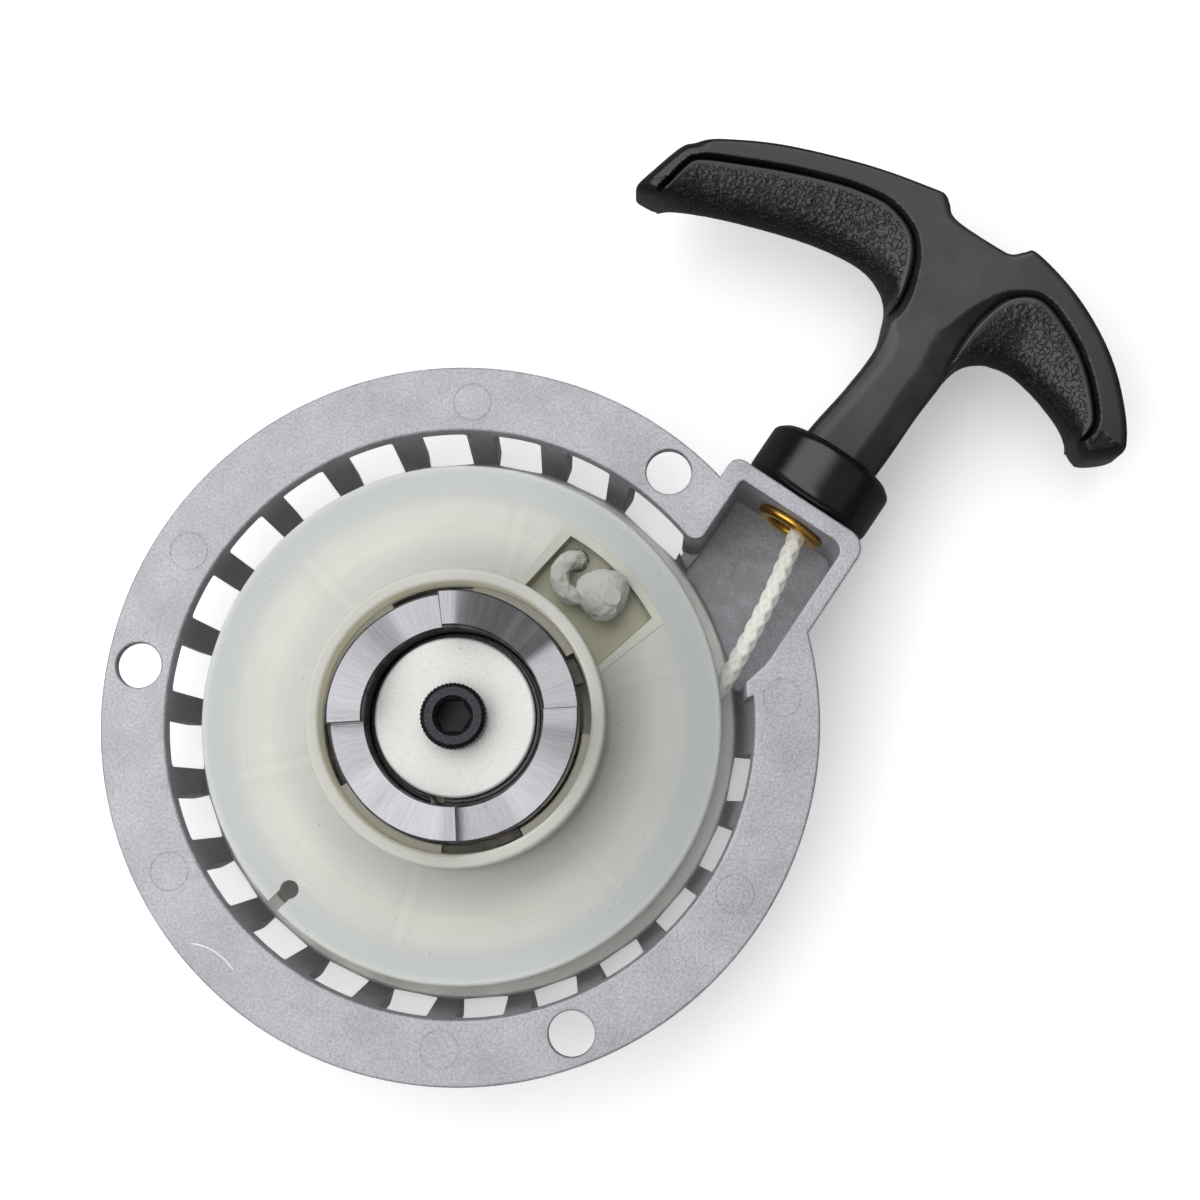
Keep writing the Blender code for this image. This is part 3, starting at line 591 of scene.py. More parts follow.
def nylon_ribs(s, tone, radius, turn, share):
    """Six faint ribs under the front disc, each with a soft shadow beside it."""
    rib_turn = s.math("PINGPONG", s.math("ADD", turn, math.radians(360 - RIB_DEG)), math.radians(30))
    side = s.times(radius, s.math("SINE", rib_turn))
    on_disc = s.times(s.span(share, 0.56, 0.58), s.span(share, 0.86, 0.90, 1.0, 0.0))
    beside = s.times(s.span(side, 1.2 * MM, 4.5 * MM, 1.0, 0.0), on_disc)
    rib = s.times(s.span(side, 0.7 * MM, 1.2 * MM, 1.0, 0.0), on_disc)
    tone = s.tint(tone, beside, 0.08, srgb(150, 153, 138))
    return s.tint(tone, rib, 0.11, srgb(236, 237, 228))


def nylon():
    """Milky nylon. What lies behind the front disc shows through it as soft bands and faint ribs.
    The collar's inner wall glows faintly, for the light that comes through it."""
    s = Shader("nylon")
    radius, turn, height = s.polar()
    share = s.math("DIVIDE", radius, REEL_RIM_R)
    tone = s.ramp(share, [
        (0.44, srgb(203, 199, 190)),
        (0.565, srgb(190, 191, 183)),
        (0.66, srgb(193, 196, 190)),
        (0.75, srgb(208, 209, 200)),
        (0.84, srgb(204, 206, 199)),
        (0.89, srgb(190, 193, 191)),
        (0.965, srgb(186, 190, 190)),
        # Painted highlight: the last stop lightens the rim's rounded edge.
        (1.0, srgb(205, 207, 202)),
    ])
    tone = nylon_ribs(s, tone, radius, turn, share)
    tone = s.mix(s.span(s.noise(18 * MM, 2.0, 0.5), 0.35, 0.65, 0.0, 0.30), tone, srgb(188, 192, 186))
    streaks = s.noise(0.8 * MM, 2.0, 0.5, s.combine(radius, s.times(turn, 1.2 * MM)))
    tone = s.mix(s.span(streaks, 0.56, 0.72, 0.0, 0.10), tone, srgb(150, 146, 136))
    # Painted shade: darker towards +X, the side that gets less light; it turns with the reel.
    tone = s.mix(s.span(s.xyz()[0], 8 * MM, 54 * MM, 0.0, 0.42), tone, srgb(128, 133, 136))
    tone = s.tint(tone, s.span(s.noise(0.8 * MM, 1.0), 0.76, 0.79), 0.5, srgb(96, 94, 82))
    # Painted shade: darker below the front disc, on the underside, the drum and inside the holes.
    tone = s.mix(s.span(height, -8.5 * MM, -6.3 * MM, 0.7, 0.0), tone, srgb(112, 112, 104))
    bore = s.span(radius, COLLAR_BORE_R + 0.05 * MM, COLLAR_BORE_R + 0.3 * MM, 1.0, 0.0)
    in_well = s.times(bore, s.span(height, 4.6 * MM, 6.0 * MM))
    s.set(Base_Color=tone, Roughness=0.42, IOR=1.5, Subsurface_Weight=0.35, Subsurface_Scale=0.004,
          Subsurface_Radius=(1.0, 1.0, 0.8), Emission_Color=srgb(206, 200, 172),
          Emission_Strength=s.times(in_well, 0.34), Normal=s.bump(s.noise(1.2 * MM, 3.0), 0.03 * MM, 0.4))
    return s.material


def clear_nylon(name, colour):
    s = Shader(name)
    clouds = s.noise(5 * MM, 3.0, 0.5)
    tone = s.mix(s.span(clouds, 0.3, 0.7, 0.0, 0.4), colour, tuple(c * 0.82 for c in colour))
    s.set(Base_Color=tone, Roughness=0.40, Subsurface_Weight=0.35, Subsurface_Scale=0.003,
          Subsurface_Radius=(1.0, 1.0, 0.6), Normal=s.bump(s.noise(1.0 * MM, 3.0), 0.03 * MM, 0.4))
    return s.material


def cord_shader(name):
    """White cord, with painted shade in the hollows of its mesh, and a fine noise for its fibres."""
    s = Shader(name)
    fine = s.noise(0.25 * MM, 3.0, 0.6)
    tone = s.ramp(fine, [(0.3, srgb(200, 199, 190)), (0.7, srgb(238, 238, 231))])
    # Painted shade in the mesh's hollows.
    hollow = s.add("ShaderNodeNewGeometry").outputs["Pointiness"]
    return s, fine, s.mix(s.span(hollow, 0.42, 0.49, 0.7, 0.0), tone, srgb(124, 122, 108))


def cord_material(s, tone, height):
    s.set(Base_Color=tone, Roughness=0.7, Sheen_Weight=0.25, Sheen_Roughness=0.4,
          Normal=s.bump(height, 0.12 * MM, 0.9))
    return s.material


def rope_fibre():
    """For rope whose braid is in its mesh."""
    s, fine, tone = cord_shader("rope_fibre")
    return cord_material(s, tone, fine)


def knot_fibre():
    """Frayed rope, with gaps between its strands. Its colour is the cord's lightened, as painted light
    against the pocket's shade, and the gaps carry painted shade.
    """
    s, fine, tone = cord_shader("knot_fibre")
    strands = s.add("ShaderNodeTexVoronoi", {"Scale": 1.0 / (0.5 * MM)}).outputs["Distance"]
    # Painted light: the cord's tone lightened for the knot, which sits in the pocket's shade.
    tone = s.mix(0.75, tone, srgb(252, 252, 247))
    # Painted shade in the gaps between the strands.
    tone = s.tint(tone, s.span(strands, 0.40, 0.80), 0.35, srgb(180, 175, 146))
    return cord_material(s, tone, s.math("SUBTRACT", fine, s.times(strands, 1.5)))


def braided_rope():
    """For a smooth tube: two sets of crossing diagonals make the braid, with painted shade between them."""
    s, fine, tone = cord_shader("braided_rope")
    along = s.vector("DOT_PRODUCT", tuple(PULL))
    lift = s.xyz()[2]
    waves = [s.math("SINE", s.times(s.math(slant, along, lift), 2 * math.pi / (1.6 * MM)))
             for slant in ("ADD", "SUBTRACT")]
    weave = s.math("MAXIMUM", *waves)
    # Painted shade between the crossing strands.
    tone = s.mix(s.span(weave, -0.6, 0.4, 0.45, 0.0), tone, srgb(168, 168, 156))
    return cord_material(s, tone, s.math("ADD", s.times(weave, 0.8), s.times(fine, 0.3)))


def black_plastic():
    """Satin black plastic, greyed in cloudy patches round its hub as a painted reflection of the overhead
    light.
    """
    s = Shader("black_plastic")
    clouds = s.noise(9 * MM, 4.0, 0.6)
    from_hub = s.away((*on_pull(0.0, DUCT_END + 46 * MM), ROPE_Z + HANDLE_HALF))
    # Painted reflection: greyer round the hub, in cloudy patches, for the overhead light mirrored there.
    hub_sheen = s.times(s.span(from_hub, 10 * MM, 52 * MM, 1.0, 0.15), s.span(clouds, 0.25, 0.75, 0.4, 1.0))
    tone = s.mix(hub_sheen, srgb(14, 14, 16), srgb(52, 52, 54))
    s.set(Base_Color=tone, Roughness=s.span(clouds, 0.3, 0.7, 0.20, 0.30), IOR=1.52,
          Specular_IOR_Level=0.42, Normal=s.bump(s.noise(0.5 * MM, 3.0, 0.6), 0.02 * MM, 0.5))
    return s.material


def wrinkled_plastic():
    """The grips: short worm-like ridges all over."""
    s = Shader("wrinkled_plastic")
    worms = s.math("ABSOLUTE", s.math("SUBTRACT", s.noise(1.15 * MM, 1.0, 0.4), 0.5))
    fine = s.noise(0.35 * MM, 2.0, 0.6)
    tone = s.ramp(fine, [(0.3, srgb(10, 10, 12)), (0.7, srgb(20, 20, 22))])
    height = s.math("ADD", s.span(worms, 0.0, 0.055, 1.0, 0.0), s.times(fine, 0.25))
    s.set(Base_Color=tone, Roughness=0.30, IOR=1.52, Specular_IOR_Level=0.5,
          Normal=s.bump(height, 0.16 * MM, 0.9))
    return s.material


def black_rubber():
    s = Shader("black_rubber")
    clouds = s.noise(6 * MM, 3.0, 0.6)
    tone = s.ramp(clouds, [(0.3, srgb(9, 9, 9)), (0.7, srgb(16, 16, 15))])
    s.set(Base_Color=tone, Roughness=s.span(clouds, 0.3, 0.7, 0.14, 0.22), IOR=1.52,
          Specular_IOR_Level=0.5, Normal=s.bump(s.noise(0.7 * MM, 3.0, 0.6), 0.02 * MM, 0.5))
    return s.material


MATERIALS = {
    "cast": cast_aluminium(),
    "machined": machined_aluminium(),
    "zinc": zinc(),
    "oxide": black_oxide(),
    "spring": spring_steel(),
    "brass": brass(),
    "nylon": nylon(),
    # Painted shade: a darker copy of the nylon for the faces of the knot's pocket, rope hole, keyhole and
    # neck.
    "pocket": clear_nylon("pocket_shaded_nylon", srgb(180, 179, 158)),
    "pocket_rim": clear_nylon("pocket_rim_nylon", srgb(190, 191, 180)),
    "rope": rope_fibre(),
    "knot": knot_fibre(),
    "braided_rope": braided_rope(),
    "plastic": black_plastic(),
    "grip": wrinkled_plastic(),
    "rubber": black_rubber(),
}


# ---- housing ----
def housing_profile():
    return rounded([
        (0.0, -30.0 * MM),
        (4.2 * MM, -30.0 * MM),
        (4.2 * MM, -21.0 * MM, 0.5 * MM),
        (10.0 * MM, -21.0 * MM, 0.8 * MM),
        (10.5 * MM, -28.5 * MM, 1.2 * MM),
        (33.0 * MM, -28.5 * MM, 1.2 * MM),
        (33.0 * MM, -18.5 * MM, 0.7 * MM),
        (35.2 * MM, -18.5 * MM, 0.7 * MM),
        (35.6 * MM, PLATE_TOP, 1.2 * MM),
        (PLATE_R, PLATE_TOP, 1.2 * MM),
        (FLANGE_INNER_R, 0.0, 0.5 * MM),
        (FLANGE_R, 0.0, 0.5 * MM),
        (FLANGE_R, -FLANGE_THICK, 0.7 * MM),
        (62.6 * MM, -FLANGE_THICK, 1.5 * MM),
        (60.2 * MM, PLATE_BOTTOM, 1.6 * MM),
        (41.0 * MM, PLATE_BOTTOM, 2.0 * MM),
        (36.5 * MM, BACK, 1.6 * MM),
        (0.0, BACK),
    ], steps=4)


def slot_cutter(start, end):
    """Cuts one slot out of the basket, between two angles and up to the flange's back."""
    middle = (start + end) / 2
    half = math.radians(end - start) / 2
    bottom, top = -34.0 * MM, -FLANGE_THICK - 0.2 * MM
    corner = 0.9 * MM
    bm = bmesh.new()
    rings = []
    for radius in (56.7 * MM, 58.0 * MM, 60.0 * MM, 62.0 * MM, 66.0 * MM):
        wide = radius * half
        outline = rounded([(-wide, bottom), (wide, bottom), (wide, top, corner), (-wide, top, corner)], 4)
        places = [(*on_circle(radius, middle + math.degrees(across / radius)), z) for across, z in outline]
        rings.append([bm.verts.new(place) for place in places])
    for a, b in zip(rings, rings[1:]):
        skin(bm, a, b)
    for ring in (rings[0], rings[-1]):
        bm.faces.new(ring)
    bmesh.ops.triangulate(bm, faces=[f for f in bm.faces if len(f.verts) > 4])
    return finish_mesh("slot", bm)


def slot_cutters():
    half = SLOT_WIDE_DEG / 2
    spans = [(d - half, d + half) for d in SLOT_DEGS] + [WIDE_SLOT]
    return merged("slots", [slot_cutter(*span) for span in spans])


def placed_round(name, profile, steps, radius, degrees):
    """The same turned piece at several angles on a circle."""
    pieces = []
    for angle in degrees:
        piece = turned(name, profile, steps)
        piece.location = (*on_circle(radius, angle), 0.0)
        pieces.append(piece)
    return pieces


def bolt_hole_cutters():
    """Plain holes, with a broken upper edge and a countersink below."""
    under, over = BOLT_HOLE_R + 0.5 * MM, BOLT_HOLE_R + 1.2 * MM
    profile = [
        (0.0, -8 * MM),
        (under, -8 * MM),
        (under, -3.1 * MM),
        (BOLT_HOLE_R, -2.6 * MM),
        (BOLT_HOLE_R, -0.25 * MM),
        (over, 0.95 * MM),
        (0.0, 0.95 * MM),
    ]
    return placed_round("hole", profile, 48, BOLT_CIRCLE_R, BOLT_DEGS)


def pin_mark_cutters():
    """The fine rings that the mould's ejector pins left on the flange."""
    turns = np.linspace(0, 2 * math.pi, 8, endpoint=False)
    profile = [(3.8 * MM + 0.12 * MM * math.cos(a), 0.05 * MM + 0.12 * MM * math.sin(a)) for a in turns]
    return placed_round("mark", profile, 40, 65.2 * MM, PIN_MARK_DEGS)


def duct_shape(points, radius, degrees):
    """An outline that runs round the duct, and back along a circle round the reel's axis."""
    return [on_pull(*p) for p in rounded(points)] + [on_circle(radius, a) for a in degrees]


def duct_outline():
    left, right, end = DUCT_LEFT, DUCT_RIGHT, DUCT_END
    points = [(left, 57.5 * MM), (left, end, 2.5 * MM), (right, end, 4.0 * MM), (right, 40.0 * MM, 1.5 * MM),
              (right - 3.0 * MM, 36.0 * MM)]
    return duct_shape(points, 58.2 * MM, (8, 14, 20, 26, 32, 36.5))


def duct_pocket():
    left, right, end = DUCT_LEFT + DUCT_WALL + 0.4 * MM, DUCT_RIGHT - DUCT_WALL, DUCT_END - DUCT_WALL
    points = [(left - 0.5 * MM, 54.0 * MM), (left, 58.0 * MM), (left, end, 0.8 * MM), (right, end, 2.6 * MM),
              (right, 44.0 * MM, 3.0 * MM), (right - 1.5 * MM, 38.0 * MM)]
    return duct_shape(points, PLATE_R - 0.1 * MM, (8.5, 12, 16, 20, 24, 28, 32, 35.5))


def tongue_round():
    """What rounds off the corner between the flange's inner edge and the duct's left wall."""
    left = DUCT_LEFT + DUCT_WALL + 0.4 * MM
    radius = 2.6 * MM
    centre_across = left - radius
    reach = FLANGE_INNER_R + radius
    centre_along = math.sqrt(reach**2 - (centre_across + PULL_OFFSET) ** 2)
    to_circle = math.degrees(math.atan2(-centre_along, -(centre_across + PULL_OFFSET)))
    round_part = arc((centre_across, centre_along), radius, 0.0, to_circle, 8)
    outline = [(left + 1.0 * MM, centre_along)] + round_part
    outline += [(round_part[-1][0] - 0.5 * MM, round_part[-1][1] - 1.6 * MM), (left + 1.0 * MM, 53.0 * MM)]
    return [on_pull(*p) for p in outline]


def build_housing():
    cast = MATERIALS["cast"]
    housing = turned("cast_housing", housing_profile(), 288, cast)
    boolean(housing, [slot_cutters()])
    boolean(housing, bolt_hole_cutters() + pin_mark_cutters())
    block = slab("block", duct_outline(), round_top(-28.0 * MM, 0.0, 0.5 * MM), cast)
    boolean(housing, [block], "UNION")
    flared_edge = [(0.0, -0.45 * MM), (-0.13 * MM, -0.13 * MM), (-0.45 * MM, 0.0), (-0.5 * MM, 1.0 * MM)]
    pocket = slab("pocket", duct_pocket(), [(0.0, DUCT_FLOOR)] + flared_edge)
    tongue = prism("tongue", tongue_round(), PLATE_TOP + 0.05 * MM, 1.3 * MM)
    boolean(housing, [pocket, tongue])
    eyelet_hole = peg("eyelet_hole", 6 * MM, -8 * MM, 4 * MM, 48)
    eyelet_hole.matrix_world = pull_frame() @ Matrix.Rotation(math.radians(-90), 4, "X")
    boolean(housing, [eyelet_hole])
    wear(housing, cast)
    stand(shade(housing), "housing", ["housing"])


# ---- reel ----
def swept(name, turns, section, closed=False, material=None):
    """Sections round the reel's axis. section(degrees) gives a loop of (radius, height)."""
    bm = bmesh.new()
    rings = [[bm.verts.new((*on_circle(r, a), z)) for r, z in section(a)] for a in turns]
    pairs = list(zip(rings, rings[1:]))
    if closed:
        pairs.append((rings[-1], rings[0]))
    else:
        bm.faces.new(rings[0])
        bm.faces.new(rings[-1])
    for a, b in pairs:
        skin(bm, a, b)
    return finish_mesh(name, bm, material)


def sectors(name, start_deg, wide_deg, inner, outer, bottom, top_at, material):
    """Four equal parts of a ring, a quarter turn apart. top_at(share) is the height along each."""
    pieces = []
    for i in range(4):
        start = start_deg + 90 * i
        turns = [start + wide_deg * k / 12 for k in range(13)]

        def section(turn):
            top = top_at((turn - start) / wide_deg)
            return [(inner, bottom), (outer, bottom), (outer, top), (inner, top)]

        pieces.append(swept(name, turns, section))
    return wear(merged(name, pieces), material)


def bar(inner, outer, half_wide, degrees):
    """Outline of a straight bar that points away from the reel's axis."""
    turn = math.radians(degrees)
    corners = [(inner, -half_wide), (outer, -half_wide), (outer, half_wide), (inner, half_wide)]
    cos, sin = math.cos(turn), math.sin(turn)
    return [(x * cos - y * sin, x * sin + y * cos) for x, y in corners]


def reel_profile():
    edge = 0.35 * MM
    return rounded([
        (7.8 * MM, 4.9 * MM, edge),
        (17.1 * MM, 4.9 * MM, edge),
        (17.1 * MM, -3.0 * MM, edge),
        (COLLAR_BORE_R, -3.0 * MM, edge),
        (COLLAR_BORE_R, 3.0 * MM),
        (LEDGE_R, 3.0 * MM, edge),
        (LEDGE_R, 5.0 * MM, edge),
        (COLLAR_BORE_R, 5.0 * MM, edge),
        (COLLAR_BORE_R, COLLAR_TOP, 0.5 * MM),
        (COLLAR_R, COLLAR_TOP, 0.7 * MM),
        (COLLAR_R, REEL_TOP, 1.2 * MM),
        (REEL_RIM_R, REEL_TOP, 0.8 * MM),
        (REEL_RIM_R, -6.5 * MM, 0.8 * MM),
        (DRUM_R, -6.5 * MM, edge),
        (DRUM_R, -21.8 * MM, edge),
        (REEL_RIM_R, -21.8 * MM, 0.6 * MM),
        (REEL_RIM_R, REEL_BOTTOM, 0.6 * MM),
        (36.5 * MM, REEL_BOTTOM, edge),
        (36.5 * MM, -8.0 * MM, edge),
        (12.0 * MM, -8.0 * MM, edge),
        (12.0 * MM, -19.4 * MM, edge),
        (7.8 * MM, -19.4 * MM, edge),
    ], steps=4)


def pocket_outline(margin):
    """The knot's pocket between the collar and an arc near the rim, grown by a margin."""
    outer_r, inner_r = 44.2 * MM + margin, COLLAR_R + 0.2 * MM - margin
    outer_more, inner_more = [math.degrees(margin / radius) * 1.1 for radius in (outer_r, inner_r)]
    outer = arc((0.0, 0.0), outer_r, 28.6 - outer_more, 59.8 + outer_more, 14)
    inner = arc((0.0, 0.0), inner_r, 66.0 + inner_more, 22.0 - inner_more, 14)
    return outer + inner


def pocket_rim():
    """The raised border round the knot's pocket, which stops short of the collar."""
    levels = [(0.0, -7.0 * MM), (0.0, REEL_TOP), (0.12 * MM, REEL_TOP + 0.12 * MM)]
    rim = slab("rim", pocket_outline(1.9 * MM), levels, MATERIALS["pocket_rim"])
    collar_room = peg("collar_room", COLLAR_R - 0.4 * MM, -12 * MM, 1 * MM, 96)
    return boolean(rim, [collar_room])


def reel_additions(look):
    """The pocket's walls, the ribs under the front disc, and the pocket's border."""
    boss = prism("boss", pocket_outline(2.0 * MM), -9.9 * MM, REEL_TOP - 0.5 * MM, look)
    bars = [bar(38.0 * MM, 47.5 * MM, 0.9 * MM, RIB_DEG + 60 * i) for i in range(6)]
    ribs = merged("ribs", [prism("rib", outline, -9.5 * MM, -5.5 * MM) for outline in bars])
    return [boss, wear(ribs, look), pocket_rim()]


def reel_cutters(look):
    """The knot's pocket, its rope hole, the keyhole notch in the rim and the claw's four slots."""
    # The cut faces take the darker nylon copy, as painted shade in these recesses.
    dark = MATERIALS["pocket"]
    pocket = slab("pocket", pocket_outline(0.0), [(0.5 * MM, -8.4 * MM), (0.0, -7.9 * MM), (0.0, 0.0)], dark)
    rope_hole = peg("rope_hole", 2.4 * MM, -11 * MM, -6 * MM, 32, dark)
    rope_hole.location = (*on_circle(ROPE_HOLE_R, ROPE_HOLE_DEG), 0.0)
    keyhole = peg("keyhole", 1.9 * MM, -7.5 * MM, 0.0, 32, dark)
    keyhole.location = (*on_circle(48.2 * MM, KEYHOLE_DEG), 0.0)
    neck = prism("neck", bar(48.6 * MM, 55 * MM, 1.35 * MM, KEYHOLE_DEG), -7.5 * MM, 0.0, dark)
    slots = sectors("slots", -6.5, 36.5, 24.2 * MM, 26.6 * MM, 2.5 * MM, lambda share: 5.6 * MM, look)
    return [pocket, rope_hole, keyhole, neck, slots]


def build_reel():
    look = MATERIALS["nylon"]
    reel = turned("moulded_reel", reel_profile(), 192, look)
    boolean(reel, reel_additions(look), "UNION")
    boolean(reel, reel_cutters(look))
    ramps = sectors("ramps", -6.1, 17.0, 25.05 * MM, 26.6 * MM, -3.6 * MM,
                    lambda share: (2.8 - 4.5 * share) * MM, look)
    boolean(reel, [ramps], "UNION")
    stand(shade(reel, 30.0), "reel", ["reel"])


# ---- claw ----
def tooth_height(degrees):
    """Height of the claw's face. Each tooth has a steep front, a land, a slope and a low land,
    and the slope starts and ends softly."""
    after_step = min((step - degrees) % 360 for step in CLAW_STEP_DEGS)
    shares = [min(max((after_step + shift - 10) / 50, 0.0), 1.0) for shift in (-3, -2, -1, 0, 1, 2, 3)]
    return CLAW_TOP + (CLAW_LOW - CLAW_TOP) * sum(shares) / len(shares)


def claw_section(degrees):
    edge = 0.35 * MM
    top = tooth_height(degrees)
    if any((step - degrees) % 360 < 0.1 for step in CLAW_STEP_DEGS):
        top -= 0.3 * MM
    return [
        (CLAW_BORE_R + edge, CLAW_BOTTOM),
        (CLAW_R - edge, CLAW_BOTTOM),
        (CLAW_R, CLAW_BOTTOM + edge),
        (CLAW_R, top - edge),
        (CLAW_R - edge, top),
        (CLAW_BORE_R + edge, top),
        (CLAW_BORE_R, top - edge),
        (CLAW_BORE_R, CLAW_BOTTOM + edge),
    ]


def build_claw():
    look = MATERIALS["machined"]
    turns = [1.5 * i for i in range(240)]
    for step in CLAW_STEP_DEGS:
        turns = [a for a in turns if abs(a - step) > 0.7]
        turns += [step - 0.6, step - 0.05, step + 0.05]
    turns = sorted(a % 360 for a in turns)
    claw = swept("cast_claw_ring", turns, claw_section, closed=True, material=look)
    lug_bottom, lug_top = CLAW_BOTTOM + 0.05 * MM, 0.5 * MM
    lugs = sectors("lugs", 17.0, 12.0, 23.0 * MM, 26.2 * MM, lug_bottom, lambda share: lug_top, look)
    boolean(claw, [lugs], "UNION")
    groove = prism("groove", bar(14 * MM, 19.4 * MM, 1.5 * MM, 255.5), -5 * MM, 8.4 * MM, look)
    boolean(claw, [groove])
    stand(shade(claw, 12.0), "claw_ring", ["claw_ring"])


# ---- washer and screw ----
def build_washer():
    profile = rounded([
        (4.3 * MM, 5.5 * MM),
        (14.9 * MM, 5.5 * MM, 0.3 * MM),
        (14.9 * MM, 8.6 * MM),
        (WASHER_R, 8.6 * MM, 0.3 * MM),
        (WASHER_R, WASHER_TOP, 0.6 * MM),
        (4.3 * MM, WASHER_TOP, 0.3 * MM),
    ], steps=5)
    washer = shade(turned("stepped_washer", profile, 128, MATERIALS["zinc"]))
    stand(washer, "housing", ["retaining_washer"])


def screw_profile(seat):
    return [(0.0, SCREW_TOP)] + rounded([
        (SCREW_R - 0.9 * MM, SCREW_TOP, 0.2 * MM),
        (SCREW_R, SCREW_TOP - 0.9 * MM, 0.3 * MM),
        (SCREW_R, seat + 0.5 * MM, 0.2 * MM),
        (SCREW_R - 0.4 * MM, seat),
        (3.9 * MM, seat, 0.3 * MM),
        (3.9 * MM, -28.2 * MM),
        (3.2 * MM, -28.9 * MM),
    ], steps=3, closed=False) + [(0.0, -28.9 * MM)]


def knurl(screw, low, high):
    """Presses grooves into the side of the screw's head, between two heights."""
    for vertex in screw.data.vertices:
        x, y, z = vertex.co
        if math.hypot(x, y) > SCREW_R - 0.25 * MM and low < z < high:
            step = round(math.degrees(math.atan2(y, x)) / 1.875)
            ridge = 1.0 - 0.022 * (step % 4 < 2)
            vertex.co = (x * ridge, y * ridge, z)


def build_screw():
    look = MATERIALS["oxide"]
    seat = WASHER_TOP + 0.3 * MM
    screw = turned("socket_screw", screw_profile(seat), 192, look)
    knurl(screw, seat + 0.6 * MM, SCREW_TOP - 0.7 * MM)
    wide, over = 3.0 * MM / math.cos(math.radians(30)), SCREW_TOP + 0.1 * MM
    socket = turned("socket", [(0.0, SCREW_TOP - 4.4 * MM), (wide, SCREW_TOP - 3.4 * MM),
                               (wide, SCREW_TOP + 1 * MM), (0.0, SCREW_TOP + 1 * MM)], 6, look)
    mouth = turned("mouth", [(0.0, SCREW_TOP - 1.2 * MM), (2.9 * MM, SCREW_TOP - 1.0 * MM),
                             (4.1 * MM, over), (0.0, over)], 48, look)
    boolean(screw, [socket, mouth])
    stand(shade(screw, 25.0), "housing", ["hub_screw"])


# ---- rope ----
def braid(length, turn):
    """Height of the crossing strands of a braided cord, at a length along it and a turn round it."""
    along = 2 * math.pi * length / (3.4 * MM)
    strand = max(math.sin(along + 4 * turn), math.sin(along - 4 * turn))
    return 0.22 * MM * strand


def build_rope_coil():
    """Rope wound on the drum in rows, with a step to the next row late in each turn."""
    points = []
    wound_deg = 990.0
    count = 1400
    for i in range(count + 1):
        wound = wound_deg * i / count
        turns, part = divmod(wound, 360)
        row = turns + smooth((part - 318) / 42)
        points.append((*on_circle(WOUND_R, 60 + wound), ROPE_Z - ROW_PITCH * row))
    coil = tube("wound_rope", points, ROPE_R - 0.1 * MM, 14, MATERIALS["rope"], braid)
    stand(shade(coil, 60.0), "reel", ["rope_coil"])


def build_rope_duct():
    """The rope from the eyelet to the drum's lowest row. It bows a little to the right."""
    eyelet = on_pull(0.6 * MM, DUCT_END - 0.4 * MM)
    path = [
        (*eyelet, ROPE_Z),
        (69.0 * MM, 39.2 * MM, ROPE_Z),
        (62.5 * MM, 24.5 * MM, ROPE_Z),
        (54.7 * MM, 10.1 * MM, ROPE_Z - 1.0 * MM),
        (50.6 * MM, 3.6 * MM, ROPE_Z - 3.0 * MM),
        (47.0 * MM, -2.4 * MM, ROPE_Z - 5.4 * MM),
        (43.6 * MM, -8.4 * MM, ROPE_Z - 7.3 * MM),
        (39.4 * MM, -14.6 * MM, ROPE_Z - 2 * ROW_PITCH),
        (*on_circle(WOUND_R, -30), ROPE_Z - 2 * ROW_PITCH),
    ]
    rope = tube("rope_in_duct", resample(path, 0.32 * MM), ROPE_R - 0.05 * MM, 24, MATERIALS["rope"], braid)
    stand(shade(rope, 60.0), "housing", ["rope_duct"])


def voxel_skin(obj, size):
    step = obj.modifiers.new("skin", "REMESH")
    step.mode = "VOXEL"
    step.voxel_size = size
    step.use_smooth_shade = True
    return boolean(obj, [])


def knot_loop(end):
    """The rope's way up out of its hole and round to the knot."""
    start = on_circle(ROPE_HOLE_R, ROPE_HOLE_DEG)
    bend = [(39.8, 56.4, -4.9), (37.2, 57.2, -4.5), (34.6, 54.0, -4.5), (34.3, 48.6, -4.6)]
    path = [(*start, -9.8 * MM), (*start, -6.4 * MM)]
    path += [(*on_circle(radius * MM, degrees), z * MM) for radius, degrees, z in bend]
    return resample(path + [tuple(end)], 0.3 * MM)


def trefoil(centre, size, lift, count=240):
    """A closed overhand knot."""
    points = []
    for i in range(count + 1):
        turn = 2 * math.pi * i / count
        points.append(centre + Vector((
            (math.sin(turn) + 2 * math.sin(2 * turn)) * size,
            (math.cos(turn) - 2 * math.cos(2 * turn)) * size,
            -math.sin(3 * turn) * lift,
        )))
    return points


